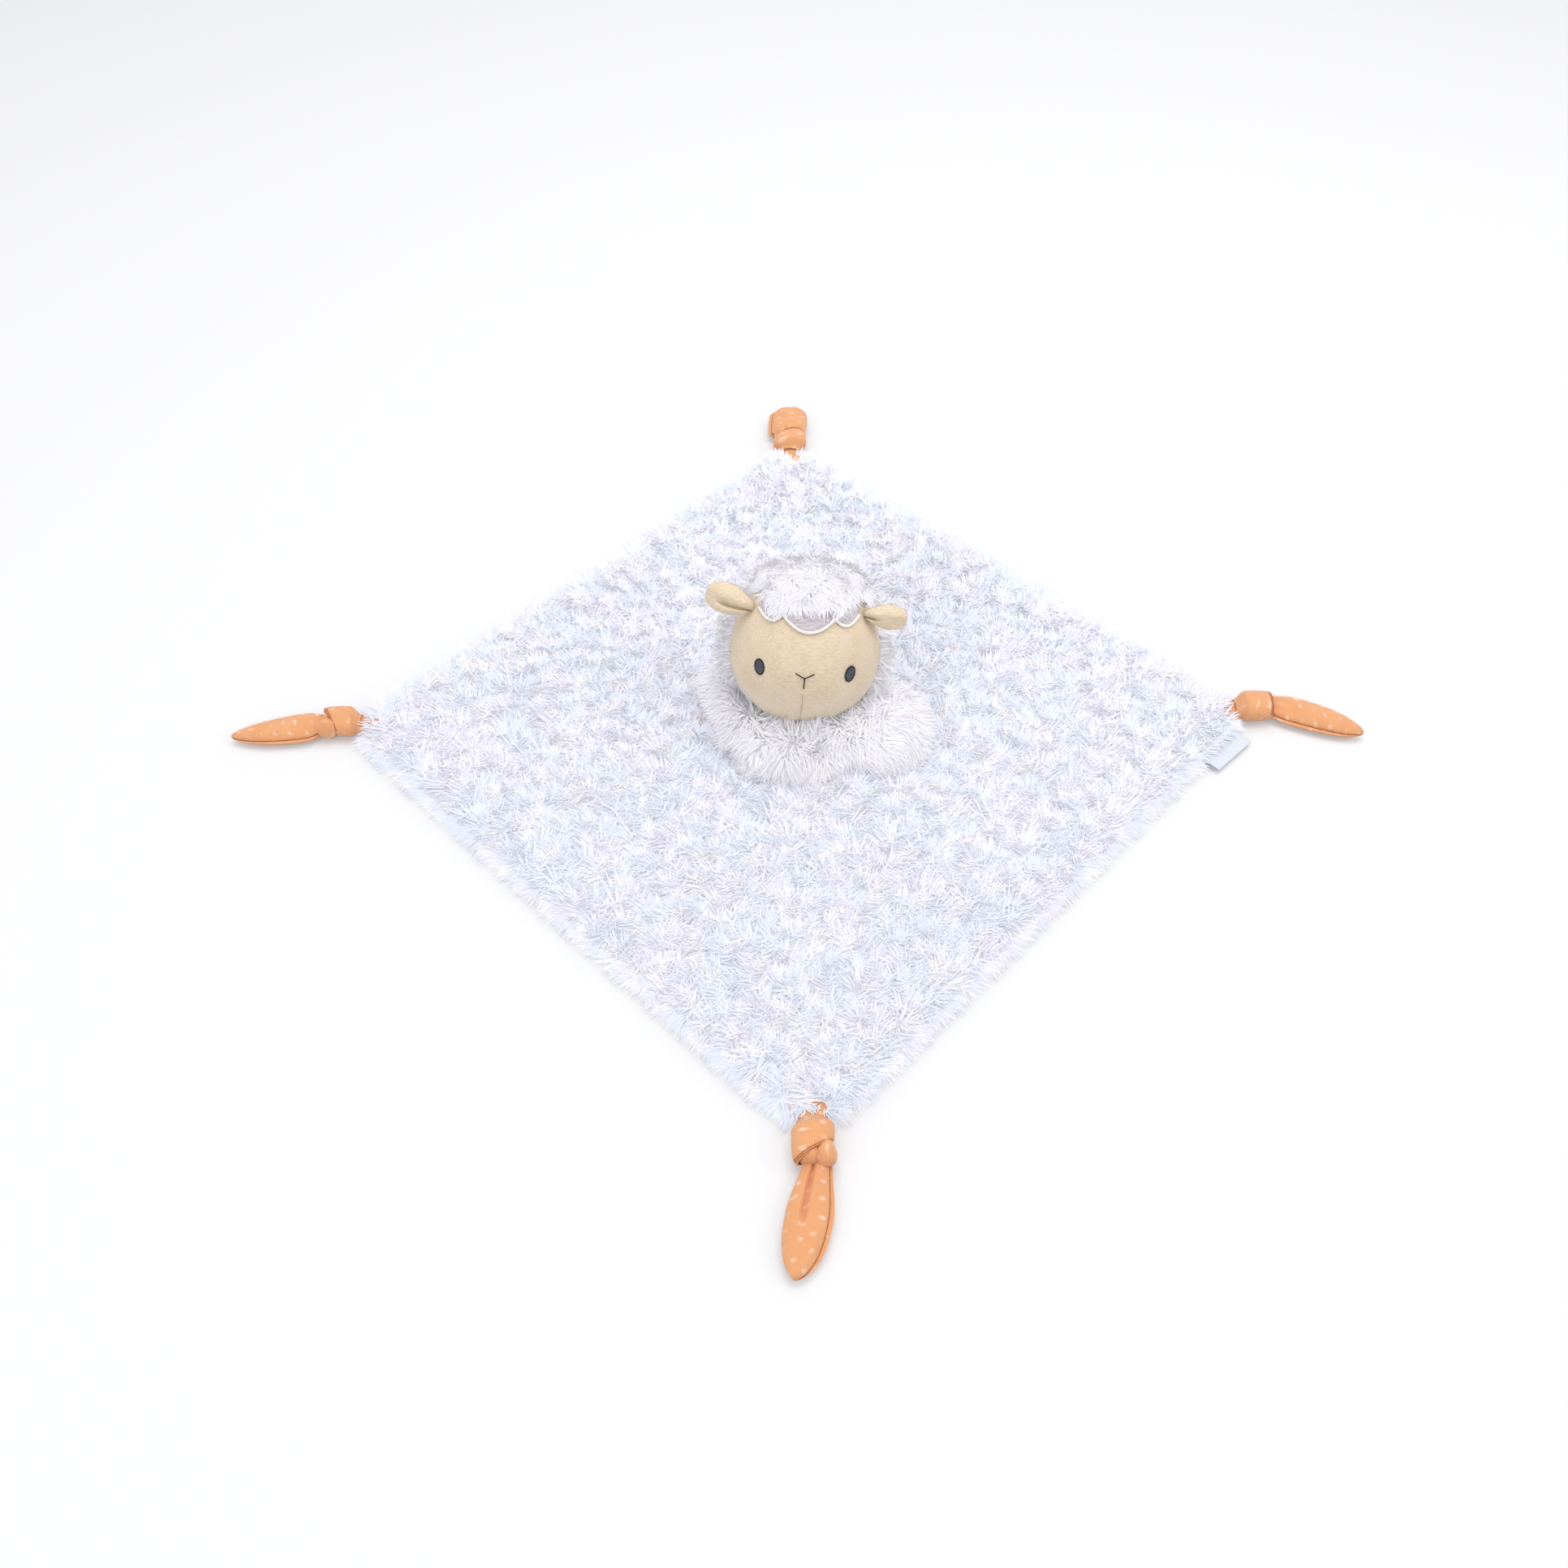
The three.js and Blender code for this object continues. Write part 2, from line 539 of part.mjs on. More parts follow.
// The knot: a core, a band wound round it at a slant, and the loop that stands out at one side.
function makeKnot(side, tailYaw, tailThickness) {
  const middle = KNOT_START + KNOT_LENGTH / 2;
  const height = KNOT_HEIGHT / 2;
  const core = ball(10, 7)
    .scale((KNOT_LENGTH + OVERRUN) / 2, KNOT_WIDTH * KNOT_CORE_SHARE, KNOT_HEIGHT * KNOT_CORE_RISE_SHARE)
    .translate(middle, 0, height);
  const wrap = new THREE.TorusGeometry(WRAP_RADIUS, WRAP_TUBE, 7, 14)
    .rotateY(Math.PI / 2)
    .scale(1, 1, WRAP_HEIGHT_SHARE)
    .rotateZ(side * WRAP_SLANT)
    .translate(middle - WRAP_TUBE / 2, 0, height);
  const loop = ball(10, 7)
    .scale(KNOT_LENGTH * LOOP_LENGTH_SHARE, KNOT_WIDTH * LOOP_WIDTH_SHARE, KNOT_HEIGHT * LOOP_HEIGHT_SHARE)
    .translate(middle + WRAP_TUBE / 2, side * KNOT_WIDTH * LOOP_OUT_SHARE, KNOT_HEIGHT * LOOP_MIDDLE_SHARE);
  const turn = new THREE.CylinderGeometry(1, 1, 2 * KNOT_HEIGHT + OVERRUN, 20)
    .rotateX(Math.PI / 2)
    .scale(STUB_WIDTH / 2 + JOINT_GAP, STUB_WIDTH / 2 + JOINT_GAP, 1);
  const beyond = new THREE.BoxGeometry(KNOT_LENGTH, 2 * KNOT_WIDTH, 2 * KNOT_HEIGHT + OVERRUN);
  const inner = beyond.clone().translate(KNOT_START - KNOT_LENGTH / 2, 0, 0);
  const outer = beyond
    .clone()
    .translate(KNOT_LENGTH / 2 - tailThickness / 2 - JOINT_GAP, 0, 0)
    .rotateZ(tailYaw)
    .translate(TAIL_PIVOT + tailThickness / 2, 0, 0);
  return solidOf(core)
    .add(solidOf(wrap))
    .add(solidOf(loop))
    .translate([0, 0, TIE_FLOAT])
    .subtract(solidOf(turn))
    .subtract(solidOf(inner))
    .subtract(solidOf(outer));
}

// One panel of a tail: a leaf that lies along X from its round root, domed on one side of the seam.
function tailPanel(length, width, thickness, upper, notch) {
  return solidOf(reshape(ball(10, 9).rotateY(Math.PI / 2), (p) => {
    const along = (p.x + 1) / 2;
    const around = Math.hypot(p.y, p.z) || 1;
    const across = p.y / around;
    const up = p.z / around;
    const leaf = Math.sqrt(around) * lerp(TAIL_ROOT_SHARE, 1, smoothstep(along, 0, TAIL_FULL_SHARE));
    const half = thickness / 2;
    const dip = bell(across / GROOVE_WIDTH_SHARE) * bell((along - GROOVE_MIDDLE_SHARE) / GROOVE_REACH_SHARE);
    const groove = upper ? TAIL_GROOVE * dip : 0;
    const heart = notch * bell(across / NOTCH_WIDTH_SHARE) * around * smoothstep(along, TAIL_FULL_SHARE, 1);
    const dome = half * Math.sqrt(around) * Math.abs(up);
    const bulge = Math.max(dome - groove - LAYER_GAP / 2, 0);
    const side = upper ? 1 : -1;
    p.x = along * length - half - heart;
    p.y = (width / 2) * leaf * across + (upper ? 0 : TAIL_OFFSET * leaf);
    p.z = TIE_FLOAT + half + side * (LAYER_GAP / 2 + (side * up > 0 ? bulge : 0));
  }));
}

// Label

// A ribbon folded over at its outer end, its pivot just inside its sewn end.
function makeLabel(outer) {
  const inner = outer - LABEL_CLOTH;
  const end = LABEL_REACH - outer;
  const ribbon = new THREE.Shape();
  ribbon.moveTo(0, -outer);
  ribbon.lineTo(end, -outer);
  ribbon.absarc(end, 0, outer, -Math.PI / 2, Math.PI / 2, false);
  ribbon.lineTo(0, outer);
  ribbon.lineTo(0, inner);
  ribbon.lineTo(end, inner);
  ribbon.absarc(end, 0, inner, Math.PI / 2, -Math.PI / 2, true);
  ribbon.lineTo(0, -inner);
  const strip = new THREE.ExtrudeGeometry(ribbon, { depth: LABEL_WIDTH, bevelEnabled: false, curveSegments: 6 });
  return solidOf(strip.rotateX(Math.PI / 2).translate(-outer, LABEL_WIDTH / 2, 0));
}

// Assembly

const lovey = new THREE.Group();

const head = new THREE.Group();
head.position.set(HEAD_REST_X, HEAD_REST_Y, HEAD_REST_Z);
head.rotation.set(-HEAD_TILT, HEAD_ROLL, 0, "ZXY");
lovey.add(head);
lovey.updateMatrixWorld(true);

const hood = solidOf(headForm(hoodLift)).intersect(halfSpace(1));
const inside = solidOf(headForm(-VELOUR_THICKNESS));

// The head's lowest point decides how high the neck reaches.
const hoodAtRest = geometryOf(hood).applyMatrix4(head.matrixWorld);
hoodAtRest.computeBoundingBox();
const headBase = hoodAtRest.boundingBox.min.z;

// The disc that closes the head's base lies over the neck.
function baseDisc(radius) {
  const drum = disc(radius, 0, HEAD_REST_Z / 2);
  return solidOf(geometryOf(drum).applyMatrix4(head.matrixWorld.clone().invert()));
}

// Each ear leans on its own side: the near-left one is raised, the right one droops a little.
const ears = [
  { name: "ear_left", side: -1, raise: EAR_RAISE_LEFT },
  { name: "ear_right", side: 1, raise: EAR_RAISE_RIGHT },
];
for (const ear of ears) {
  const surface = new THREE.Vector3(
    ear.side * EAR_SPREAD,
    -faceDepth(EAR_SPREAD, EAR_HEIGHT, 0),
    EAR_HEIGHT,
  );
  const outward = new THREE.Vector3(
    surface.x / (HEAD_WIDTH * HEAD_WIDTH),
    surface.y / (HEAD_DEPTH * HEAD_DEPTH),
    surface.z / (HEAD_HEIGHT * HEAD_HEIGHT),
  ).normalize();
  ear.group = new THREE.Group();
  ear.group.position.copy(surface).addScaledVector(outward, EAR_STAND);
  ear.group.rotation.y = ear.side < 0 ? Math.PI + ear.raise : -ear.raise;
  head.add(ear.group);
}
lovey.updateMatrixWorld(true);

// Room for both ears, at rest and at the ends of their flop, in the head's own frame.
const earRoom = ears
  .flatMap((ear) => [FLOP_DOWN, 0, FLOP_UP].map((flop) => {
    const place = new THREE.Matrix4().compose(
      ear.group.position,
      new THREE.Quaternion().setFromEuler(new THREE.Euler(0, ear.group.rotation.y + ear.side * -flop, 0)),
      new THREE.Vector3(1, 1, 1),
    );
    return solidOf(earForm(JOINT_GAP).applyMatrix4(place));
  }))
  .reduce((all, room) => all.add(room));

// Blanket and collar
const neck = makeNeck(headBase - SEAT_GAP);
const stubRoom = solidOf(stubForm(SEAT_GAP));
let plushTop = makePlushTop();
const corners = [
  { name: "right", heading: 0, side: -1, yaw: TAIL_YAW_RIGHT },
  { name: "rear", heading: 90, side: 1, yaw: TAIL_YAW_REAR, curled: true },
  { name: "left", heading: 180, side: 1, yaw: TAIL_YAW_LEFT },
  { name: "front", heading: 270, side: 1, yaw: TAIL_YAW_FRONT },
];
for (const corner of corners) {
  plushTop = plushTop.subtract(stubRoom.translate([TIE_PIVOT, 0, 0]).rotate([0, 0, corner.heading]));
}
addMesh(lovey, "blanket_lining", makeLining(), JERSEY, 0.9);
addMesh(lovey, "blanket_top", plushTop, PLUSH, 1);
addMesh(lovey, "neck_patch", disc(PATCH_RADIUS, PATCH_Z, PATCH_Z + PATCH_THICKNESS), INTERFACING, 0.9);
addMesh(lovey, "neck_stem", neck.stem, CREAM_PLUSH, 1);
addMesh(lovey, "neck_thread", neck.thread, SATIN, 0.6);

const sweep = (p) => COLLAR_ROOM + (p.y > -FACE_EDGE_SHARE ? hoodLift(p) : 0);
const roomForm = headForm(sweep, SPOKES / 2, SPOKES / 4);
const headRoom = solidOf(roomForm.applyMatrix4(head.matrixWorld).translate(0, 0, -COLLAR_ROOM_DOWN));
addMesh(lovey, "collar", makeCollar(headRoom), CREAM_PLUSH, 1);

// Head
const faceShell = solidOf(headForm(0)).subtract(inside).intersect(halfSpace(-1));
const hoodShell = hood.subtract(inside);
const discRoom = baseDisc(BASE_DISC_RADIUS + LAYER_GAP);
const stuffing = headForm(-VELOUR_THICKNESS - 2 * SEAT_GAP, SPOKES / 2, SPOKES / 4);
addMesh(head, "head_stuffing", solidOf(stuffing), FIBRE, 1);
addMesh(head, "face_panel", faceShell.subtract(discRoom), VELOUR, 0.95);
addMesh(head, "head_back_panel", hoodShell.subtract(discRoom), CREAM_PLUSH, 1);
addMesh(head, "head_base_disc", hoodShell.intersect(baseDisc(BASE_DISC_RADIUS)), INTERFACING, 0.9);
const hoodRoom = solidOf(headForm((p) => hoodLift(p) + SEAT_GAP)).intersect(
  halfSpace(1).translate([0, -SEAT_GAP, 0]),
);
addMesh(head, "hair_cap", makeHair(hoodRoom, earRoom), CREAM_PLUSH, 1);
addMesh(head, "hairline_applique", makeApplique(), LILAC, 0.95);
addMesh(head, "scallop_trim", scallopCord(TRIM_RADIUS), SATIN, 0.45);

// Embroidery
const stitches = faceLayer(STITCH_LIFT, STITCH_THICKNESS);
for (const [name, side] of [["left", -1], ["right", 1]]) {
  const x = (side * EYE_SPACING) / 2;
  const fillWidth = EYE_WIDTH - 2 * EYE_RIM;
  const fillHeight = EYE_HEIGHT - 2 * EYE_RIM;
  const gap = 2 * LAYER_GAP;
  const rim = facePrism(ellipse(x, EYE_Z, EYE_WIDTH, EYE_HEIGHT))
    .subtract(facePrism(ellipse(x, EYE_Z, fillWidth, fillHeight)));
  const fill = facePrism(ellipse(x, EYE_Z, fillWidth - gap, fillHeight - gap));
  addMesh(head, `eye_${name}_outline`, stitches.intersect(rim), DARK_THREAD, 0.5);
  addMesh(head, `eye_${name}_fill`, stitches.intersect(fill), EYE_GREY, 0.5);
}
const nose = facePrism(bar(-NOSE_WIDTH / 2, NOSE_Z + NOSE_RISE, NOSE_THREAD / 4, NOSE_Z, NOSE_THREAD))
  .add(facePrism(bar(NOSE_WIDTH / 2, NOSE_Z + NOSE_RISE, -NOSE_THREAD / 4, NOSE_Z, NOSE_THREAD)))
  .add(facePrism(bar(0, NOSE_Z, 0, NOSE_Z - NOSE_STEM, NOSE_THREAD)));
addMesh(head, "nose_stitch", stitches.intersect(nose), DARK_THREAD, 0.5);
const seam = facePrism(bar(0, SEAM_TOP_Z, 0, SEAM_END_Z, SEAM_THREAD));
addMesh(head, "chin_seam", stitches.intersect(seam), VELOUR, 0.8);

// Ears
const earPieces = makeEar();
for (const ear of ears) {
  addMesh(ear.group, `${ear.name}_front`, earPieces.front, VELOUR, 0.95);
  addMesh(ear.group, `${ear.name}_back`, earPieces.back, VELOUR, 0.95);
  addMesh(ear.group, `${ear.name}_filling`, earPieces.filling, FIBRE, 1);
}

// Ties
for (const corner of corners) {
  const tie = new THREE.Group();
  tie.rotation.z = THREE.MathUtils.degToRad(corner.heading);
  lovey.add(tie);
  const sewn = new THREE.Group();
  sewn.position.x = TIE_PIVOT;
  tie.add(sewn);
  const thickness = corner.curled ? CURLED_THICKNESS : TAIL_THICKNESS;
  const length = corner.curled ? CURLED_LENGTH : TAIL_LENGTH;
  const width = corner.curled ? CURLED_WIDTH : TAIL_WIDTH;
  const notch = corner.curled ? CURLED_NOTCH : 0;
  const tail = new THREE.Group();
  tail.position.x = TAIL_PIVOT + thickness / 2;
  tail.rotation.z = corner.yaw;
  sewn.add(tail);
  addMesh(sewn, `tie_stub_${corner.name}`, solidOf(stubForm(0)), JERSEY, 0.9);
  addMesh(sewn, `knot_${corner.name}`, makeKnot(corner.side, corner.yaw, thickness), JERSEY, 0.9);
  addMesh(tail, `tail_upper_${corner.name}`, tailPanel(length, width, thickness, true, notch), JERSEY, 0.9);
  addMesh(tail, `tail_lower_${corner.name}`, tailPanel(length, width, thickness, false, notch), JERSEY, 0.9);
}

// Label on the front right edge
const label = new THREE.Group();
const labelAlong = LABEL_FROM_CORNER / Math.SQRT2;
const labelHalf = LABEL_CLOTH + LABEL_LOOP_GAP / 2;
const labelOut = (JOINT_GAP + labelHalf + (LABEL_WIDTH / 2) * Math.abs(Math.sin(LABEL_SKEW))) / Math.SQRT2;
label.position.set(HALF_DIAGONAL - labelAlong + labelOut, -labelAlong - labelOut, SEAM_Z);
label.rotation.z = -Math.PI / 4 + LABEL_SKEW;
addMesh(label, "label", makeLabel(labelHalf), SATIN, 0.4);
lovey.add(label);

export default lovey;
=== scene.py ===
"""Comfort blanket lovey: a square plush blanket, a stuffed lamb's head and four knotted jersey ties.

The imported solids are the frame. Every piece is made here in millimetres, in the same axes, and is
written to its mesh in metres: +Z up, the blanket's diagonals along X and Y, the lamb looking to -Y.
"""

import logging
import math
from collections.abc import Sequence
from dataclasses import asdict, dataclass, field, replace
from enum import Enum
from functools import partial, reduce

import bpy
import numpy as np
from mathutils import Matrix, Vector


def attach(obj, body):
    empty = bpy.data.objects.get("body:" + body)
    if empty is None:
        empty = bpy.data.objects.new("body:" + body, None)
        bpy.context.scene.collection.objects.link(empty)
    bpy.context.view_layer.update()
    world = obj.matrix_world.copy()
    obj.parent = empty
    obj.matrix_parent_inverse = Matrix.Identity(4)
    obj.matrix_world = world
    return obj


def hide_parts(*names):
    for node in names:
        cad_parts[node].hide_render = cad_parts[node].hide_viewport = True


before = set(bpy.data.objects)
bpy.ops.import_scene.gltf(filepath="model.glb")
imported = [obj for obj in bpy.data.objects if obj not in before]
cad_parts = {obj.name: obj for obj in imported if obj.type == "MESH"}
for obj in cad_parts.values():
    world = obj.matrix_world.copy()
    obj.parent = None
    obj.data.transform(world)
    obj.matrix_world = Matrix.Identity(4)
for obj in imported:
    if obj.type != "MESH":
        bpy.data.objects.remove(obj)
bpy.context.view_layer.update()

LOG = logging.getLogger("lovey")
MM = 0.001
SQUARE = 330
CORNER = SQUARE / math.sqrt(2)
ROOT_DEPTH = 0.9
WORKING_NOTES = ("comb", "grow", "outward")
Array = np.ndarray
Faces = list[tuple[int, ...]]
Object, Material = bpy.types.Object, bpy.types.Material
NodeTree, Node, Socket = bpy.types.NodeTree, bpy.types.Node, bpy.types.NodeSocket


# Shapes and numbers


def smoothstep(value: Array, low: float, high: float) -> Array:
    """Ease from 0 at low to 1 at high, and hold both ends."""
    share = np.clip((np.asarray(value, float) - low) / (high - low), 0, 1)
    return share * share * (3 - 2 * share)


def bell(value: Array) -> Array:
    """Return a smooth bump of height 1 round 0."""
    return np.exp(-np.square(value))


def mix(low: Array, high: Array, share: Array) -> Array:
    """Return the blend of low and high at a share from 0 to 1."""
    return low + (high - low) * share


def at(*parts: Array | float) -> Array:
    """Return points, vectors or flat places from their coordinates."""
    return np.stack(np.broadcast_arrays(*parts), -1)


def unit(vectors: Array) -> Array:
    """Return vectors at length 1."""
    size = np.linalg.norm(vectors, axis=-1, keepdims=True)
    return vectors / np.maximum(size, 1e-9)


def spin(degrees: float) -> Array:
    """Return the matrix that turns rows of points anticlockwise about Z."""
    cosine, sine = math.cos(math.radians(degrees)), math.sin(math.radians(degrees))
    return np.array([[cosine, sine, 0], [-sine, cosine, 0], [0, 0, 1]])


def ripple(points: Array, wave: float, seed: int) -> Array:
    """Soft repeatable noise for folds, from a few crossed waves.

    Args:
        points: Positions in millimetres, three to a row.
        wave: Length of the longest wave in millimetres.
        seed: Which of the patterns to give.

    Returns:
        Numbers from about -1 to 1, one for each point.
    """
    draw = np.random.default_rng(seed)
    total = np.zeros(points.shape[:-1])
    for octave in range(5):
        heading = unit(draw.normal(size=3))
        length = wave / (1 + 0.45 * octave)
        start = draw.uniform(0, 6.3)
        total += np.sin(points @ heading * 2 * math.pi / length + start) / (1 + 0.5 * octave)
    return total / 2.2


def grid_faces(rows: int, columns: int, wrap: bool = False) -> Faces:
    """Quads of a grid whose points run column by column within each row.

    Args:
        rows: Number of rows of points.
        columns: Number of points in a row.
        wrap: Whether the last column joins the first.

    Returns:
        Corner numbers of every quad, anticlockwise where rows run up and columns run right.
    """
    last = columns if wrap else columns - 1
    return [
        (
            row * columns + column,
            row * columns + (column + 1) % columns,
            (row + 1) * columns + (column + 1) % columns,
            (row + 1) * columns + column,
        )
        for row in range(rows - 1)
        for column in range(last)
    ]


def add_object(name: str, data: bpy.types.ID) -> Object:
    """Add an object to the scene.

    Args:
        name: Name of the object.
        data: What it holds.

    Returns:
        The object.
    """
    made = bpy.data.objects.new(name, data)
    bpy.context.scene.collection.objects.link(made)
    return made


def piece(name: str, points: Array, faces: Sequence, material: Material | None = None) -> Object:
    """Make a smooth mesh object from points in millimetres.

    Args:
        name: Name of the piece.
        points: Positions, three to a row.
        faces: Corner numbers of every face.
        material: What the piece is made of.

    Returns:
        The object, linked to the scene.
    """
    mesh = bpy.data.meshes.new(name)
    mesh.from_pydata((np.asarray(points, float).reshape(-1, 3) * MM).tolist(), [], list(faces))
    mesh.shade_smooth()
    if material:
        mesh.materials.append(material)
    return add_object(name, mesh)


def lay_uv(made: Object, places: Array) -> None:
    """Give a mesh a UV map from one place for each point, in millimetres.

    Args:
        made: The piece.
        places: Two numbers for each of its points.
    """
    layer = made.data.uv_layers.new(name="cloth")
    corners = np.empty(len(made.data.loops), int)
    made.data.loops.foreach_get("vertex_index", corners)
    layer.uv.foreach_set("vector", np.asarray(places, float).reshape(-1, 2)[corners].ravel())


def note(made: Object, name: str, values: Array) -> None:
    """Store one number or vector for each point under a name.

    Args:
        made: The piece.
        name: Name of the attribute.
        values: A number, or three numbers, for each point.
    """
    values = np.asarray(values, np.float32)
    kind, key = ("FLOAT_VECTOR", "vector") if values.ndim > 1 else ("FLOAT", "value")
    made.data.attributes.new(name, kind, "POINT").data.foreach_set(key, values.ravel())


def strands(
    paths: Sequence[Array], closed: bool = False, outward: Sequence[Array] | None = None
) -> Object:
    """Make an object of plain lines of points in millimetres, for the thread and stitch trees.

    Args:
        paths: The points of each line.
        closed: Whether each line ends where it starts.
        outward: Directions away from the cloth at the points of each line.

    Returns:
        The object.
    """
    edges, start = [], 0
    for path in paths:
        count = len(path)
        edges += [(start + i, start + i + 1) for i in range(count - 1)]
        if closed:
            edges.append((start + count - 1, start))
        start += count
    mesh = bpy.data.meshes.new("strands")
    mesh.from_pydata((np.vstack(paths) * MM).tolist(), edges, [])
    made = add_object("strands", mesh)
    if outward is not None:
        note(made, "outward", np.vstack(outward))
    return made


def settle(made: Object) -> Object:
    """Turn an object's modifiers into plain mesh.

    Args:
        made: The object.

    Returns:
        The same object.
    """
    bpy.context.view_layer.update()
    solved = made.evaluated_get(bpy.context.evaluated_depsgraph_get())
    mesh = bpy.data.meshes.new_from_object(solved)
    made.modifiers.clear()
    old, made.data = made.data, mesh
    mesh.name = made.name
    bpy.data.meshes.remove(old)
    return made


def thicken(made: Object, depth: float) -> Object:
    """Give a sheet a wall behind its outward side, closed at the rim.

    Args:
        made: The sheet.
        depth: Wall in millimetres.

    Returns:
        The same object with a closed mesh.
    """
    wall = made.modifiers.new("wall", "SOLIDIFY")
    wall.thickness, wall.offset, wall.use_even_offset = depth * MM, -1, False
    return settle(made)


def finish_piece(made: Object, body: str, slot: str, *nodes: str) -> Object:
    """Attach a piece to the body it rides on, hide the solids it stands for and log its faces.

    Args:
        made: The piece.
        body: CAD body that it moves with.
        slot: Material slot of the record; not used.
        nodes: CAD nodes that it replaces.

    Returns:
        The same object.
    """
    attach(made, body)
    if nodes:
        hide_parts(*nodes)
    LOG.info("%s on %s: %d faces", made.name, body, len(made.data.polygons))
    return made


# Node trees


def socket(sockets: bpy.types.bpy_prop_collection, key: str | int) -> Socket:
    """Return a socket by its identifier or its place.

    Args:
        sockets: A node's inputs or outputs.
        key: Identifier or index.

    Returns:
        The socket.
    """
    if isinstance(key, int):
        return sockets[key]
    return next(each for each in sockets if each.identifier == key)


@dataclass
class Bench:
    """Builds one node tree with few words.

    Attributes:
        tree: The tree under work.
    """

    tree: NodeTree

    def feed(self, target: Socket, value: object) -> None:
        """Link a socket into target, or set target's own value.

        Args:
            target: Socket that takes the value.
            value: Socket or plain value.
        """
        if isinstance(value, Socket):
            self.tree.links.new(value, target)
        else:
            target.default_value = value

    def node(self, kind: str, inputs: dict | None = None, **settings: object) -> Node:
        """Add a node.

        Args:
            kind: Blender's name of the node type.
            inputs: Values or sockets by identifier or index.
            settings: The node's own properties.

        Returns:
            The node.
        """
        made = self.tree.nodes.new(kind)
        for name, value in settings.items():
            setattr(made, name, value)
        for key, value in (inputs or {}).items():
            self.feed(socket(made.inputs, key), value)
        return made

    def first(self, kind: str, inputs: dict | None = None, **settings: object) -> Socket:
        """Add a node and return its first output."""
        return self.node(kind, inputs, **settings).outputs[0]

    def calc(self, operation: str, *values: object) -> Socket:
        """Return the result of a Math node on numbers or sockets."""
        return self.first("ShaderNodeMath", dict(enumerate(values)), operation=operation)

    def plus(self, *values: object) -> Socket:
        """Return the sum of numbers and sockets."""
        return reduce(partial(self.calc, "ADD"), values)

    def times(self, *values: object) -> Socket:
        """Return the product of numbers and sockets."""
        return reduce(partial(self.calc, "MULTIPLY"), values)

    def minus(self, value: object, less: object) -> Socket:
        """Return the difference of two numbers or sockets."""
        return self.calc("SUBTRACT", value, less)

    def over(self, value: object, share: object) -> Socket:
        """Return the quotient of two numbers or sockets."""
        return self.calc("DIVIDE", value, share)

    def vector(self, operation: str, *values: object) -> Socket:
        """Return the result of a Vector Math node."""
        made = self.node("ShaderNodeVectorMath", dict(enumerate(values)), operation=operation)
        return made.outputs["Value" if operation == "DOT_PRODUCT" else "Vector"]

    def scale(self, vector: object, size: object) -> Socket:
        """Return a vector or colour times a number."""
        return self.first("ShaderNodeVectorMath", {0: vector, 3: size}, operation="SCALE")

    def xyz(self, x: object, y: object, z: object) -> Socket:
        """Return a vector from its parts."""
        return self.first("ShaderNodeCombineXYZ", {0: x, 1: y, 2: z})

    def parts(self, vector: object) -> bpy.types.bpy_prop_collection:
        """Return the outputs X, Y and Z of a vector or colour."""
        return self.node("ShaderNodeSeparateXYZ", {0: vector}).outputs

    def named(self, name: str, kind: str = "FLOAT") -> Socket:
        """Return an attribute of the geometry by its name."""
        return self.first("GeometryNodeInputNamedAttribute", {"Name": name}, data_type=kind)

    def noise(self, place: object, scale: object, detail: float, output: str = "Fac") -> Socket:
        """Return smooth noise of a scale and a detail at a place."""
        inputs = {"Vector": place, "Scale": scale, "Detail": detail}
        return self.node("ShaderNodeTexNoise", inputs).outputs[output]

    def emboss(
        self, shader: Node, height: Socket, strength: float, depth: float, sunk: bool = False
    ) -> None:
        """Raise or sink a shader's surface by a height, to a depth in millimetres."""
        inputs = {"Height": height, "Strength": strength, "Distance": depth * MM}
        self.feed(shader.inputs["Normal"], self.first("ShaderNodeBump", inputs, invert=sunk))

    def blend(self, share: object, first: object, second: object) -> Socket:
        """Mix two colours.

        Args:
            share: Share of the second, from 0 to 1.
            first: First colour.
            second: Second colour.

        Returns:
            Socket of the mixed colour.
        """
        inputs = {"Factor_Float": share, "A_Color": first, "B_Color": second}
        made = self.node("ShaderNodeMix", inputs, data_type="RGBA")
        return socket(made.outputs, "Result_Color")

    def spread(
        self, value: object, low: float, high: float, first: float = 0, second: float = 1
    ) -> Socket:
        """Carry a value smoothly from one range to another, clamped.

        Args:
            value: Number to carry.
            low: Value that gives first.
            high: Value that gives second.
            first: Result at low.
            second: Result at high.

        Returns:
            Socket of the result.
        """
        inputs = {"Value": value, "From Min": low, "From Max": high, "To Min": first, "To Max": second}
        made = self.node("ShaderNodeMapRange", inputs, interpolation_type="SMOOTHSTEP")
        return made.outputs["Result"]

    def random(self, seed: int, low: object = 0.0, high: object = 1.0) -> Socket:
        """Draw a random number, or vector where low and high are vectors, for each element.

        Args:
            seed: Seed of the draw.
            low: Lowest value.
            high: Highest value.

        Returns:
            Socket of the value.
        """
        if isinstance(low, (tuple, list)):
            inputs = {"Min": low, "Max": high, "Seed": seed}
            return self.first("FunctionNodeRandomValue", inputs, data_type="FLOAT_VECTOR")
        inputs = {"Min_001": low, "Max_001": high, "Seed": seed}
        made = self.node("FunctionNodeRandomValue", inputs, data_type="FLOAT")
        return socket(made.outputs, "Value_001")


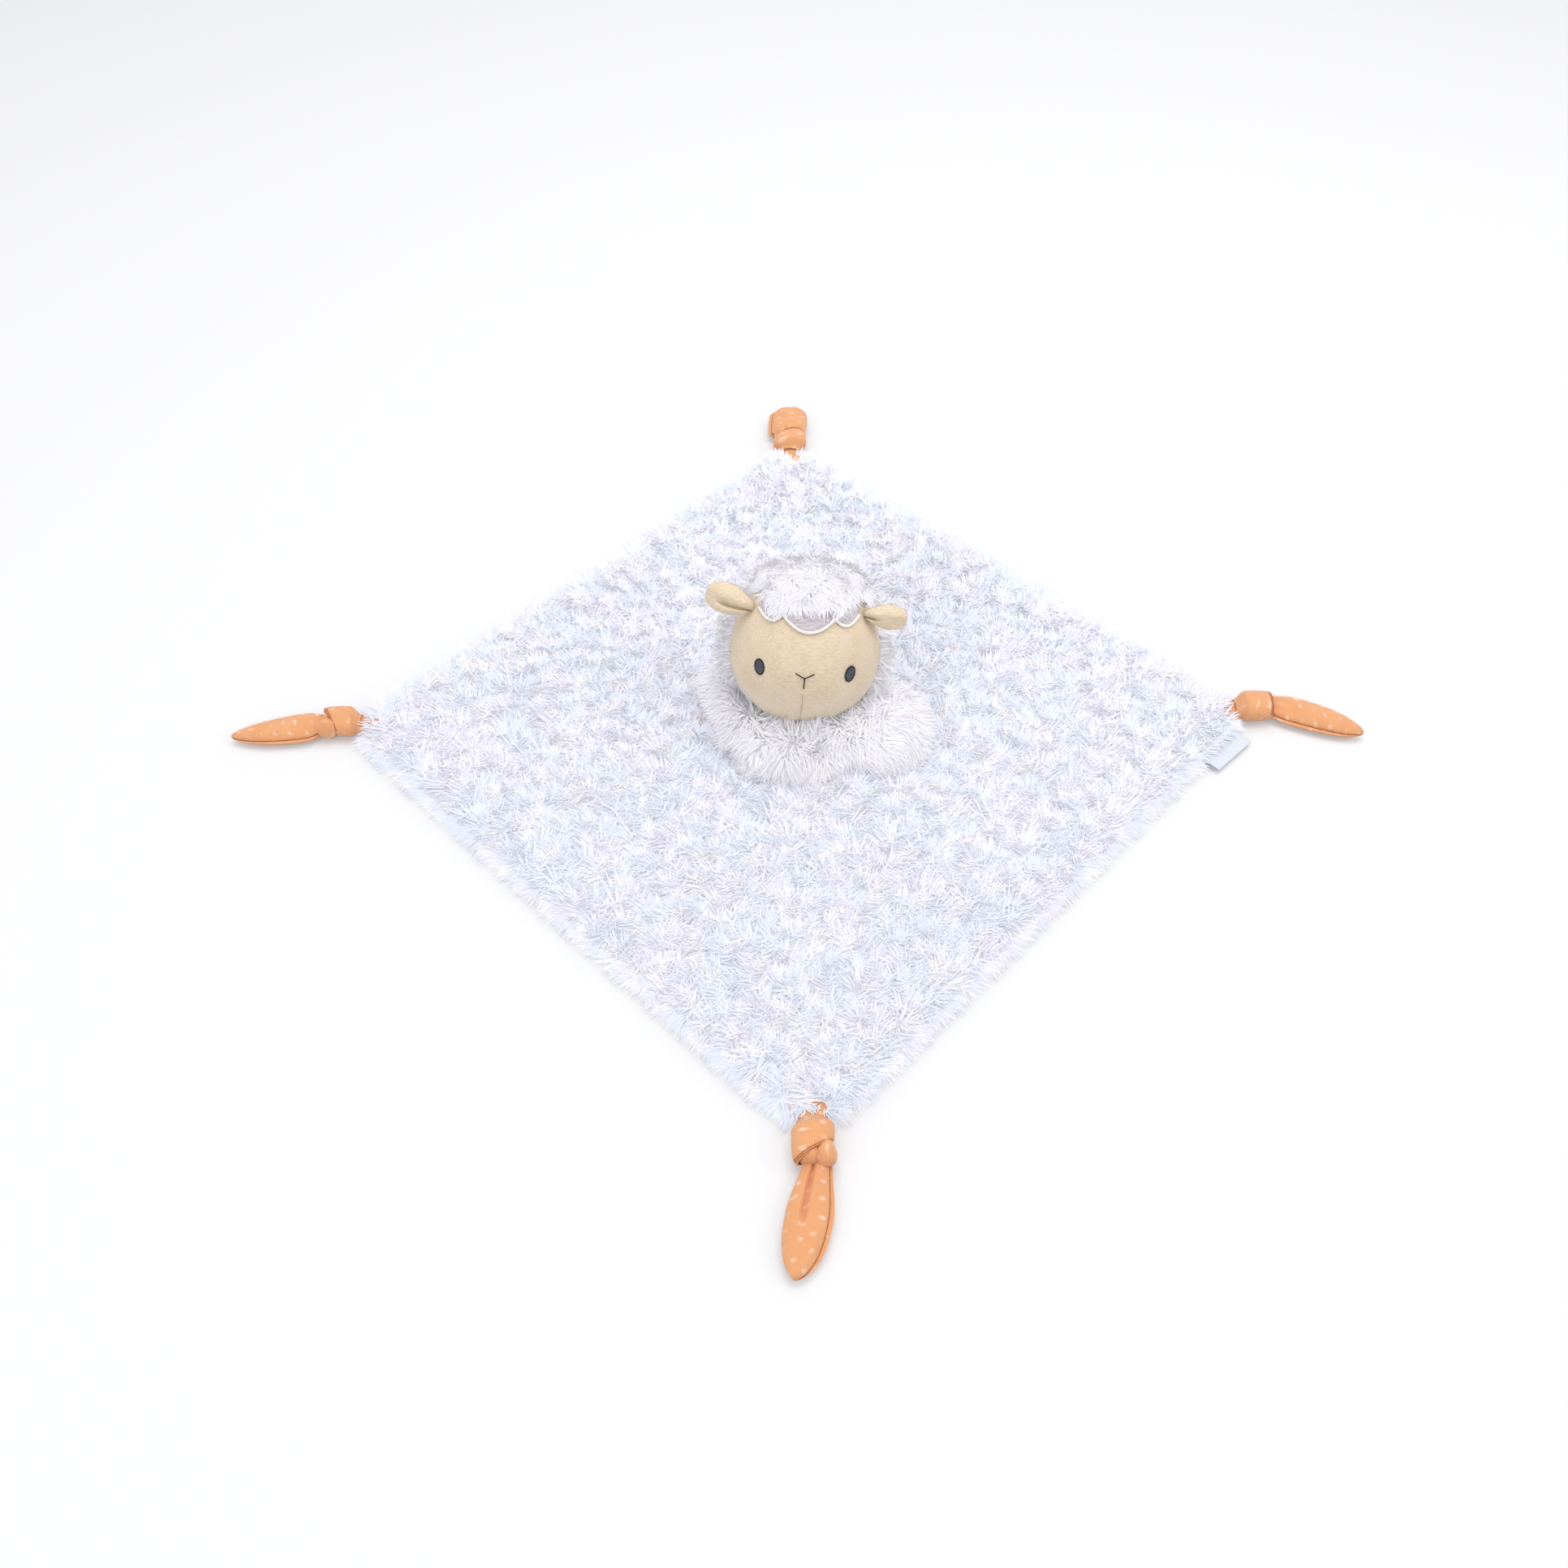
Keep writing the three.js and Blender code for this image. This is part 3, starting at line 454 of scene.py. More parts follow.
def geometry_tree(name: str, sockets: dict[str, tuple[str, object]]) -> tuple[Bench, Node]:
    """Start a Geometry Nodes tree with a geometry input and named inputs.

    Args:
        name: Name of the tree.
        sockets: Kind of socket and default value by input name.

    Returns:
        The bench and the node that holds the inputs.
    """
    tree = bpy.data.node_groups.new(name, "GeometryNodeTree")
    tree.interface.new_socket("Geometry", in_out="INPUT", socket_type="NodeSocketGeometry")
    tree.interface.new_socket("Geometry", in_out="OUTPUT", socket_type="NodeSocketGeometry")
    for label, (kind, value) in sockets.items():
        made = tree.interface.new_socket(label, in_out="INPUT", socket_type=f"NodeSocket{kind}")
        if value is not None:
            made.default_value = value
    bench = Bench(tree)
    return bench, bench.node("NodeGroupInput")


def close_tree(bench: Bench, geometry: object, material: object) -> NodeTree:
    """End a tree in Realize Instances and Set Material.

    Args:
        bench: The bench of the tree.
        geometry: Socket of the finished geometry.
        material: Socket of the material.

    Returns:
        The tree.
    """
    real = bench.first("GeometryNodeRealizeInstances", {"Geometry": geometry})
    smooth = bench.first("GeometryNodeSetShadeSmooth", {"Geometry": real})
    dressed = bench.first("GeometryNodeSetMaterial", {"Geometry": smooth, "Material": material})
    bench.node("NodeGroupOutput", {0: dressed})
    return bench.tree


def run_tree(name: str, base: Object, tree: NodeTree, values: dict) -> Object:
    """Run a tree on a base object and keep the result as a plain piece; the base is removed.

    Args:
        name: Name of the new piece.
        base: Object that holds the geometry to work on.
        tree: The Geometry Nodes tree.
        values: Input values by input name.

    Returns:
        The new piece.
    """
    grown = base.modifiers.new("grow", "NODES")
    grown.node_group = tree
    for item in tree.interface.items_tree:
        if item.in_out == "INPUT" and item.name in values:
            grown[item.identifier] = values[item.name]
    settle(base)
    for note_name in [each.name for each in base.data.attributes if each.name in WORKING_NOTES]:
        base.data.attributes.remove(base.data.attributes[note_name])
    base.name = base.data.name = name
    return base


def keep_note(
    bench: Bench, geometry: object, name: str, value: object, kind: str = "FLOAT"
) -> Socket:
    """Store a value on the points of a geometry under a name, and return the geometry."""
    inputs = {"Geometry": geometry, "Name": name, "Value": value}
    return bench.first("GeometryNodeStoreNamedAttribute", inputs, data_type=kind, domain="POINT")


def make_pile_tree() -> NodeTree:
    """Build the tree that grows locks of pile over a surface.

    The locks of each rosette swirl out from its centre. A vector named comb draws them its way,
    and a number named grow shortens them. Every lock is a closed, tapering body that bends over.

    Returns:
        The tree.
    """
    bench, given = geometry_tree(
        "pile",
        {
            "Density": ("Float", 8e5),
            "Length": ("Float", 0.009),
            "Thickness": ("Float", 0.0013),
            "Widen": ("Float", 1.5),
            "Bends": ("Int", 2),
            "Lean": ("Float", 0.7),
            "Droop": ("Float", 0.45),
            "Rosette": ("Float", 0.012),
            "Swirl": ("Float", 0.9),
            "Mess": ("Float", 0.8),
            "Comb": ("Float", 1.0),
            "Tilt": ("Float", 0.25),
            "Floor": ("Float", 0.0004),
            "Seed": ("Int", 1),
            "Material": ("Material", None),
        },
    )
    out = given.outputs
    scatter = bench.node(
        "GeometryNodeDistributePointsOnFaces",
        {"Mesh": out["Geometry"], "Density": out["Density"], "Seed": out["Seed"]},
    )
    normal = scatter.outputs["Normal"]
    place = bench.first("GeometryNodeInputPosition")
    often = bench.over(1.0, out["Rosette"])
    cells = bench.node("ShaderNodeTexVoronoi", {"Vector": place, "Scale": often})
    away = bench.vector("SUBTRACT", place, cells.outputs["Position"])
    rise = bench.scale(normal, bench.vector("DOT_PRODUCT", away, normal))
    ray = bench.vector("NORMALIZE", bench.vector("SUBTRACT", away, rise))
    ahead = bench.scale(ray, bench.calc("COSINE", out["Swirl"]))
    aside = bench.scale(bench.vector("CROSS_PRODUCT", normal, ray), bench.calc("SINE", out["Swirl"]))
    tangle = bench.noise(place, bench.times(often, 1.7), 2.0, "Color")
    stray = bench.vector("SUBTRACT", tangle, (0.5, 0.5, 0.5))
    stray = bench.scale(stray, bench.times(out["Mess"], 4.0))
    heading = bench.vector("ADD", bench.vector("ADD", ahead, aside), stray)
    comb = bench.scale(bench.named("comb", "FLOAT_VECTOR"), out["Comb"])
    heading = bench.vector("ADD", heading, comb)
    loose = bench.scale(bench.random(11, (-1.0, -1.0, -1.0), (1.0, 1.0, 1.0)), out["Tilt"])
    up = bench.vector("ADD", normal, loose)
    turn = bench.first(
        "FunctionNodeAxesToRotation", {0: up, 1: heading}, primary_axis="Z", secondary_axis="X"
    )

    half = bench.times(out["Thickness"], 0.5)
    cone = bench.first(
        "GeometryNodeMeshCone",
        {
            "Vertices": 3,
            "Side Segments": out["Bends"],
            "Radius Top": 0.0,
            "Radius Bottom": half,
            "Depth": 1.0,
        },
        fill_type="NGON",
    )
    x, y, along = bench.parts(place)
    square = bench.times(along, along)
    reach = bench.times(out["Length"], out["Lean"], square)
    rise = bench.minus(along, bench.times(square, out["Droop"]))
    bent = bench.xyz(
        bench.plus(bench.over(x, out["Widen"]), reach),
        bench.times(y, out["Widen"]),
        bench.minus(bench.times(out["Length"], rise), ROOT_DEPTH * MM),
    )
    marked = keep_note(bench, cone, "along", along)
    marked = keep_note(bench, marked, "across", bench.over(y, half))
    lock = bench.first("GeometryNodeSetPosition", {"Geometry": marked, "Position": bent})

    roots = keep_note(bench, scatter.outputs["Points"], "shade", bench.random(12))
    roots = keep_note(bench, roots, "patch", bench.parts(cells.outputs["Color"])["X"])
    roots = keep_note(bench, roots, "soft", normal, "FLOAT_VECTOR")
    size = bench.times(bench.named("grow"), bench.random(13, 0.65, 1.3))
    grown = bench.first(
        "GeometryNodeInstanceOnPoints",
        {"Points": roots, "Instance": lock, "Rotation": turn, "Scale": bench.xyz(size, size, size)},
    )
    real = bench.first("GeometryNodeRealizeInstances", {"Geometry": grown})
    above = bench.vector("MAXIMUM", place, bench.xyz(-9.0, -9.0, out["Floor"]))
    kept = bench.first("GeometryNodeSetPosition", {"Geometry": real, "Position": above})
    return close_tree(bench, kept, out["Material"])


def make_thread_tree() -> NodeTree:
    """Build the tree that turns lines of points into round threads.

    Returns:
        The tree.
    """
    bench, given = geometry_tree(
        "thread", {"Radius": ("Float", 0.0003), "Sides": ("Int", 8), "Material": ("Material", None)}
    )
    out = given.outputs
    line = bench.first("GeometryNodeMeshToCurve", {"Mesh": out["Geometry"]})
    ring = bench.first(
        "GeometryNodeCurvePrimitiveCircle", {"Resolution": out["Sides"], "Radius": out["Radius"]}
    )
    inputs = {"Curve": line, "Profile Curve": ring, "Fill Caps": True}
    return close_tree(bench, bench.first("GeometryNodeCurveToMesh", inputs), out["Material"])


def make_stitch_tree() -> NodeTree:
    """Build the tree that sets stitches along a line, each standing off the cloth.

    The line's points carry a vector named outward. A stitch is a small closed body whose length lies
    at an angle to the line.

    Returns:
        The tree.
    """
    bench, given = geometry_tree(
        "stitch",
        {
            "Spacing": ("Float", 0.0004),
            "Length": ("Float", 0.002),
            "Thickness": ("Float", 0.0004),
            "Height": ("Float", 0.0005),
            "Slant": ("Float", 0.0),
            "Material": ("Material", None),
        },
    )
    out = given.outputs
    line = bench.first("GeometryNodeMeshToCurve", {"Mesh": out["Geometry"]})
    inputs = {"Curve": line, "Length": out["Spacing"]}
    points = bench.node("GeometryNodeCurveToPoints", inputs, mode="LENGTH").outputs
    inputs = {0: bench.named("outward", "FLOAT_VECTOR"), 1: points["Tangent"]}
    turn = bench.first("FunctionNodeAxesToRotation", inputs, primary_axis="Z", secondary_axis="X")
    inputs = {"Axis": (0.0, 0.0, 1.0), "Angle": out["Slant"]}
    slant = bench.first("FunctionNodeAxisAngleToRotation", inputs)
    turned = bench.first("FunctionNodeRotateRotation", {0: turn, 1: slant}, rotation_space="LOCAL")
    bead = bench.first("GeometryNodeMeshUVSphere", {"Segments": 8, "Rings": 6, "Radius": 0.5})
    size = bench.xyz(out["Length"], out["Thickness"], out["Height"])
    inputs = {"Points": points["Points"], "Instance": bead, "Rotation": turned, "Scale": size}
    sewn = bench.first("GeometryNodeInstanceOnPoints", inputs)
    return close_tree(bench, sewn, out["Material"])


# Finishes


def linear(code: str) -> tuple[float, float, float, float]:
    """Return a screen colour such as ecaf84 as linear red, green, blue and alpha."""
    parts = [int(code[i : i + 2], 16) / 255 for i in (0, 2, 4)]
    return (*[p / 12.92 if p <= 0.04045 else ((p + 0.055) / 1.055) ** 2.4 for p in parts], 1.0)


def blank(owner: Material | bpy.types.World) -> Bench:
    """Empty the node tree of a material or world.

    Args:
        owner: The material or world.

    Returns:
        A bench on its tree.
    """
    owner.use_nodes = True
    owner.node_tree.nodes.clear()
    return Bench(owner.node_tree)


def blank_material(name: str, roughness: float, sheen: float) -> tuple[Bench, Node]:
    """Start a material with one main shader.

    Args:
        name: Name of the material.
        roughness: Roughness of the surface.
        sheen: Strength of the soft light along its edges.

    Returns:
        The bench and the shader node.
    """
    bench = blank(bpy.data.materials.new(name))
    shader = bench.node("ShaderNodeBsdfPrincipled", {"Roughness": roughness, "Sheen Weight": sheen})
    shader.inputs["Specular IOR Level"].default_value = 0.2
    shader.inputs["Sheen Roughness"].default_value = 0.6
    bench.node("ShaderNodeOutputMaterial", {0: shader.outputs[0]})
    return bench, shader


@dataclass(frozen=True)
class PileFinish:
    """Long soft pile in cloudy patches of two whites, with a painted warm highlight on a few tufts and
    painted shade at the lock roots.

    Attributes:
        name: Name of the material.
        first: Colour of one kind of patch.
        second: Colour of the other.
        warm: Colour of the tufts that catch a warm light.
        patch: Size of the patches in millimetres.
        body: Share of the light that a lock gives back.
    """

    name: str
    first: str
    second: str
    warm: str
    patch: float
    body: float

    def material(self) -> Material:
        """Make the material: locks streaked by fine hairs, with painted shade that makes them a little
        darker at their roots.

        Returns:
            The material.
        """
        bench, shader = blank_material(self.name, 1.0, 0.0)
        shader.inputs["Specular IOR Level"].default_value = 0.0
        along, across, shade, tuft = (
            bench.node("ShaderNodeAttribute", attribute_name=name).outputs["Fac"]
            for name in ("along", "across", "shade", "patch")
        )
        place = bench.node("ShaderNodeTexCoord").outputs["Object"]
        often = 1 / (self.patch * MM)
        cloud = bench.spread(bench.noise(place, often * 0.5, 2.0), 0.42, 0.58)
        colour = bench.blend(cloud, linear(self.first), linear(self.second))
        spots = bench.spread(bench.noise(place, often, 2.0), 0.48, 0.7)
        # painted warm highlight: tufts in random spots take the warm colour, more toward the lock tips
        warm_highlight = bench.times(spots, bench.spread(along, 0.0, 0.5, 0.3, 0.8))
        colour = bench.blend(warm_highlight, colour, linear(self.warm))
        hair = bench.xyz(bench.times(across, 3.0), bench.times(along, 1.2), bench.times(shade, 90.0))
        # random tone of hair streaks, locks and rosettes, times painted shade that darkens each lock
        # toward its root
        light = bench.plus(
            bench.times(bench.noise(hair, 1.0, 3.0), 0.03),
            bench.times(shade, 0.02),
            bench.times(tuft, 0.03),
            bench.spread(along, 0.0, 0.8, 0.93, 0.95),
        )
        colour = bench.scale(bench.scale(colour, light), self.body)
        bench.feed(shader.inputs["Base Color"], colour)
        return bpy.data.materials[self.name]


@dataclass(frozen=True)
class VelourFinish:
    """Short brushed pile with a fine nap that runs across the piece.

    Attributes:
        name: Name of the material.
        base: Main colour.
        worn: Colour where the nap is parted.
    """

    name: str
    base: str
    worn: str

    def material(self) -> Material:
        """Make the material, with its nap stretched along X.

        Returns:
            The material.
        """
        bench, shader = blank_material(self.name, 0.9, 0.35)
        place = bench.node("ShaderNodeTexCoord").outputs["Object"]
        nap = bench.noise(bench.vector("MULTIPLY", place, (260.0, 1500.0, 1900.0)), 1.0, 4.0)
        cloud = bench.noise(place, 90.0, 3.0)
        share = bench.spread(bench.plus(bench.times(nap, 0.7), bench.times(cloud, 0.3)), 0.36, 0.62)
        colour = bench.blend(share, linear(self.worn), linear(self.base))
        bench.feed(shader.inputs["Base Color"], colour)
        fuzz = bench.noise(place, 2600.0, 2.0)
        height = bench.plus(bench.times(nap, 0.8), bench.times(fuzz, 0.4))
        bench.emboss(shader, height, 0.35, 0.4)
        return bpy.data.materials[self.name]


@dataclass(frozen=True)
class JerseyFinish:
    """Fine rib knit with a print of small pale dashes, laid out on the piece's UV map in millimetres.

    Attributes:
        name: Name of the material.
        base: Colour of the knit.
        valley: Colour of the painted shade between the ribs.
        dash: Colour of the print.
        rib: Distance between ribs in millimetres.
        pitch: Distances between the dashes, along and across the ribs.
    """

    name: str
    base: str
    valley: str
    dash: str
    rib: float = 0.55
    pitch: tuple[float, float] = (7.0, 7.6)

    def material(self) -> Material:
        """Make the material, whose ribs run along U and whose dashes are staggered.

        Returns:
            The material.
        """
        bench, shader = blank_material(self.name, 0.82, 0.25)
        along, across, _ = bench.parts(bench.first("ShaderNodeUVMap", uv_map="cloth"))
        wave = bench.calc("SINE", bench.times(across, 2 * math.pi / self.rib))
        ridge = bench.plus(bench.times(wave, 0.5), 0.5)
        place = bench.node("ShaderNodeTexCoord").outputs["Object"]
        cloud = bench.noise(place, 120.0, 4.0)
        share = bench.plus(bench.times(ridge, 0.45), bench.times(cloud, 0.55))
        # painted shade in the troughs between the ribs, mixed by cloud noise with random tone
        knit = bench.blend(bench.spread(share, 0.25, 0.75), linear(self.valley), linear(self.base))
        pitch_along, pitch_across = self.pitch
        drift = bench.parts(bench.noise(place, 75.0, 1.0, "Color"))
        print_along = bench.over(bench.plus(along, bench.times(drift["X"], 9.0)), pitch_along)
        print_across = bench.over(bench.plus(across, bench.times(drift["Y"], 9.0)), pitch_across)
        shift = bench.times(bench.calc("MODULO", bench.calc("FLOOR", print_across), 2.0), 0.5)
        step = bench.calc("FRACT", bench.plus(print_along, shift))
        lane = bench.calc("FRACT", print_across)
        u = bench.times(bench.minus(step, 0.5), pitch_along / 0.85)
        v = bench.times(bench.minus(lane, 0.5), pitch_across / 1.5)
        lean = bench.plus(v, bench.times(u, 0.25))
        blot = bench.times(bench.minus(bench.noise(place, 420.0, 2.0), 0.5), 5.0)
        rough = bench.plus(bench.times(u, u), bench.times(lean, lean), blot)
        dash = bench.times(bench.spread(rough, 2.2, -0.3), bench.spread(cloud, 0.4, 0.62, 0.12, 0.5))
        bench.feed(shader.inputs["Base Color"], bench.blend(dash, knit, linear(self.dash)))
        stitch = bench.calc("SINE", bench.times(along, 2 * math.pi / (self.rib * 0.8)))
        bench.emboss(shader, bench.plus(ridge, bench.times(stitch, 0.18)), 0.35, 0.12)
        return bpy.data.materials[self.name]


@dataclass(frozen=True)
class ThreadFinish:
    """Embroidery or sewing thread, ribbon, or a plain inner cloth.

    Attributes:
        name: Name of the material.
        base: Colour in the light.
        deep: Colour of the painted shade between the strands.
        roughness: Roughness of the surface.
        pitch: Distance between strands in millimetres.
    """

    name: str
    base: str
    deep: str
    roughness: float
    pitch: float

    def material(self) -> Material:
        """Make the material, with fine strands from crossed waves and painted shade between them.

        Returns:
            The material.
        """
        bench, shader = blank_material(self.name, self.roughness, 0.1)
        place = bench.node("ShaderNodeTexCoord").outputs["Object"]
        scaled = bench.scale(place, 1 / (self.pitch * MM))
        weave = bench.first("ShaderNodeTexVoronoi", {"Vector": scaled, "Scale": 1.0})
        # painted shade: the colour darkens toward the edges of the cells, between the strands
        colour = bench.blend(bench.spread(weave, 0.15, 0.75), linear(self.base), linear(self.deep))
        bench.feed(shader.inputs["Base Color"], colour)
        bench.emboss(shader, weave, 0.25, 0.1, sunk=True)
        return bpy.data.materials[self.name]


def worn(finish: PileFinish | VelourFinish | JerseyFinish | ThreadFinish) -> Material:
    """Return a field that makes the finish's material when the wardrobe is filled."""
    return field(default_factory=finish.material)


@dataclass
class Wardrobe:
    """All finishes of the toy, made once."""

    plush: Material = worn(PileFinish("plush_white", "ebf0fc", "f1effc", "faf8fb", 9, 1.0))
    fleece: Material = worn(PileFinish("plush_cream", "f2f1f8", "f6f4fa", "fbf9fc", 8, 0.97))
    plush_cloth: Material = worn(ThreadFinish("plush_cloth", "eceff9", "e2e6f4", 0.9, 0.6))
    fleece_cloth: Material = worn(ThreadFinish("fleece_cloth", "e6e4ea", "dad8e0", 0.9, 0.6))
    velour: Material = worn(VelourFinish("velour_cream", "e0cdb4", "d2be9f"))
    lilac: Material = worn(VelourFinish("velour_lilac", "cfc6cb", "aba2a9"))
    jersey: Material = worn(JerseyFinish("jersey_peach", "e5a879", "d6925e", "f4e2d4"))
    satin: Material = worn(ThreadFinish("satin_white", "fdfcfa", "eae6e0", 0.4, 0.4))
    ribbon: Material = worn(ThreadFinish("ribbon_white", "dde1ea", "cdd2dd", 0.5, 0.3))
    grey: Material = worn(ThreadFinish("thread_grey", "6f6c76", "3c3a42", 0.45, 0.35))
    dark: Material = worn(ThreadFinish("thread_dark", "2c2a30", "141317", 0.5, 0.3))
    seam: Material = worn(ThreadFinish("seam_peach", "c07a48", "96572f", 0.7, 0.4))
    crease: Material = worn(ThreadFinish("seam_cream", "c2ab84", "a08960", 0.8, 0.4))
    fibre: Material = worn(ThreadFinish("fibre_white", "f4f4f0", "d5d5d0", 0.95, 1.6))
    felt: Material = worn(ThreadFinish("interfacing_white", "e8e8e4", "cfcfca", 0.9, 0.8))


@dataclass
class Workshop:
    """What every sub-assembly shares: the finishes and the node trees."""

    wear: Wardrobe = field(default_factory=Wardrobe)
    pile_tree: NodeTree = field(default_factory=make_pile_tree)
    thread_tree: NodeTree = field(default_factory=make_thread_tree)
    stitch_tree: NodeTree = field(default_factory=make_stitch_tree)

    def thread(
        self, name: str, lines: Sequence[Array], radius: float, sides: int, material: Material
    ) -> Object:
        """Lay round threads of a radius in millimetres along lines of points."""
        values = {"Radius": radius * MM, "Sides": sides, "Material": material}
        return run_tree(name, strands(lines), self.thread_tree, values)


SOFT_LIGHT = (0.0, -0.3, 0.95)


@dataclass(frozen=True)
class Pile:
    """How the pile of one piece grows; lengths are in millimetres.

    Attributes:
        density: Locks on a square millimetre.
        length: Length of a lock.
        thickness: Thickness of a lock at its root.
        widen: How much wider than round a lock is.
        bends: Bends along a lock.
        lean: How far its tip lies over, as a share of its length.
        droop: How much its height loses by the bend, as a share.
        rosette: Distance between the rosettes.
        swirl: Angle between a lock and the ray from its rosette's centre.
        mess: Strength of the tangle.
        comb: Strength of the combed direction.
        tilt: Random tilt of each lock.
        seed: Seed of the scatter.
        lift: How far the shading turns to the soft light, since loose pile passes light on.
        floor: Height under which no lock reaches.
    """

    density: float
    length: float
    thickness: float
    widen: float
    bends: int
    lean: float
    droop: float
    rosette: float
    swirl: float
    mess: float
    comb: float
    tilt: float
    seed: int
    lift: float
    floor: float = 0.4

    def grow(
        self,
        shop: Workshop,
        name: str,
        material: Material,
        points: Array,
        faces: Sequence,
        comb: Array,
        length: Array,
    ) -> Object:
        """Grow the pile on a cloth.

        Args:
            shop: Finishes and trees.
            name: Name of the new piece.
            material: Finish of the pile.
            points: Points of the cloth.
            faces: Faces of the cloth on which it grows.
            comb: The vector that combs it at each point.
            length: Share of its length at each point.

        Returns:
            The piece.
        """
        base = piece("base", points, faces)
        note(base, "comb", comb.reshape(-1, 3))
        note(base, "grow", length.reshape(-1))
        units = {"density": MM**-2, "length": MM, "thickness": MM, "rosette": MM, "floor": MM}
        values = {key.title(): size * units.get(key, 1) for key, size in asdict(self).items()}
        values["Material"] = material
        made = run_tree(name, base, shop.pile_tree, values)
        self.soften(made.data)
        made.visible_shadow = False
        return made

    def soften(self, mesh: bpy.types.Mesh) -> None:
        """Shade the locks like the cloth under them, so that the pile reads as one soft mass.

        Args:
            mesh: The grown pile, which notes the cloth's direction at each lock.
        """
        values = np.empty(len(mesh.vertices) * 3, np.float32)
        mesh.attributes["soft"].data.foreach_get("vector", values)
        raised = unit(values.reshape(-1, 3) + np.array(SOFT_LIGHT) * self.lift)
        mesh.normals_split_custom_set_from_vertices(raised)


# Blanket


@dataclass
class Blanket:
    """The plush top and its lining.

    Attributes:
        corner_cut: How much shorter each corner is, where its tie is sewn in.
        neck_radius: Radius of the hole for the neck.
        pile_depth: From the backing to the top of the pile.
        plush_top: Height of the pile's top where the cloth lies flat.
        cells: Cells along one side of the backing.
        gathers: Gathers round the neck.
        gather_radius: From the neck to the crest of the gathers.
        gather_width: How wide their ring is.
        gather_rise: How high they stand.
        wave_length: Length of the long waves.
        wave_rise: How high the long waves stand.
        pile: How the pile grows.
        rings: Where each zone of the pile starts and ends, as shares of the way to the edge.
    """

    corner_cut: float = 8
    neck_radius: float = 12.8
    pile_depth: float = 4.6
    plush_top: float = 8.5
    cells: int = 132
    gathers: int = 7
    gather_radius: float = 74
    gather_width: float = 34
    gather_rise: float = 2.6
    wave_length: float = 118
    wave_rise: float = 1.1
    pile: Pile = Pile(
        density=2.4, length=9.2, thickness=1.6, widen=1.3, bends=1, lean=0.95, droop=0.5,
        rosette=13, swirl=0.9, mess=1.0, comb=1.0, tilt=0.22, seed=5, lift=4.0,
    )
    rings: tuple[tuple[str, float, float], ...] = (
        ("inner", 0, 0.6),
        ("middle", 0.6, 0.83),
        ("edge", 0.83, math.inf),
    )

    def height(self, x: Array, y: Array) -> Array:
        """Height of the plush, as the solids have it: gathers round the neck and long waves.

        Args:
            x: Places along X.
            y: Places along Y.

        Returns:
            Height of the top of the pile.
        """
        radius, angle = np.hypot(x, y), np.arctan2(y, x)
        gather = (1 + np.cos(self.gathers * angle + 1)) / 2
        ring = bell((radius - self.gather_radius) / self.gather_width)
        inside = 1 - smoothstep((np.abs(x) + np.abs(y)) / CORNER, 0.7, 0.95)
        wave = np.sin(2 * math.pi * (x + y / 3) / self.wave_length)
        wave = wave * smoothstep(radius, 12.4, self.gather_radius)
        return self.plush_top + inside * (self.gather_rise * gather * ring + self.wave_rise * wave)

    def surface(self) -> tuple[Array, Array, Array]:
        """Lay out the backing.

        Returns:
            Points, the vector to comb each towards, and how far the pile grows there.
        """
        side = np.linspace(-1, 1, self.cells + 1)
        across, along = np.meshgrid(side, side)
        x = (across - along) * CORNER / 2
        y = (across + along) * CORNER / 2
        tip = CORNER - self.corner_cut
        shrink = np.minimum(tip / np.maximum(np.maximum(np.abs(x), np.abs(y)), 1), 1)
        x, y = x * shrink, y * shrink
        corner = np.maximum(np.abs(x), np.abs(y)) / tip
        out = np.maximum((np.abs(x) + np.abs(y)) / CORNER, corner)
        z = self.height(x, y) - self.pile_depth + 0.35 * ripple(at(x, y, 0.0), 34, 3)
        roll = np.sqrt(np.clip(1 - np.square(np.clip((out - 0.972) / 0.028, 0, 1)), 0, 1))
        z = mix(1.9, z, roll)
        outward = at(np.sign(x), np.sign(y), -0.5)
        comb = outward * (1.3 * smoothstep(out, 0.95, 1.0))[..., None]
        comb = comb + 0.25 * unit(at(x, y + 30, 0.0))
        comb = comb + outward * (1.2 * smoothstep(corner, 0.96, 1.0))[..., None]
        tie = smoothstep(corner, 0.955, 1.0)
        grow = mix(1.0, 0.85, tie) * mix(0.55, 1.0, smoothstep(np.hypot(x, y), 30, 44))
        grow = grow * mix(1.0, 0.75, smoothstep(out, 0.96, 1.0))
        return at(x, y, z).reshape(-1, 3), comb, grow

    def build(self, shop: Workshop) -> None:
        """Make the backing, its pile in twelve parts and the lining.

        Args:
            shop: Finishes and trees.
        """
        points, comb, grow = self.surface()
        count = self.cells + 1
        quads = np.array(grid_faces(count, count))
        middles = points[quads].mean(1)
        radius = np.hypot(middles[:, 0], middles[:, 1])
        quads, middles = quads[radius > self.neck_radius], middles[radius > self.neck_radius]
        heading = np.degrees(np.arctan2(middles[:, 1], middles[:, 0]))
        out = np.abs(middles[:, 0]) + np.abs(middles[:, 1])
        quarters = {"right": (0, 90), "rear": (90, 180), "left": (-180, -90), "front": (-90, 0)}
        for number, (name, (low, high)) in enumerate(quarters.items()):
            for ring, (zone, start, end) in enumerate(self.rings):
                chosen = (heading >= low) & (heading < high)
                chosen &= (out >= start * CORNER) & (out < end * CORNER)
                style = replace(self.pile, seed=10 * number + ring)
                patch, label = quads[chosen].tolist(), f"pile_{name}_{zone}"
                tuft = style.grow(shop, label, shop.wear.plush, points, patch, comb, grow)
                finish_piece(tuft, "blanket", "plush")
        backing = thicken(piece("plush_backing", points, quads.tolist(), shop.wear.plush_cloth), 0.8)
        finish_piece(backing, "blanket", "plush", "blanket_top")
        self.build_lining(shop)

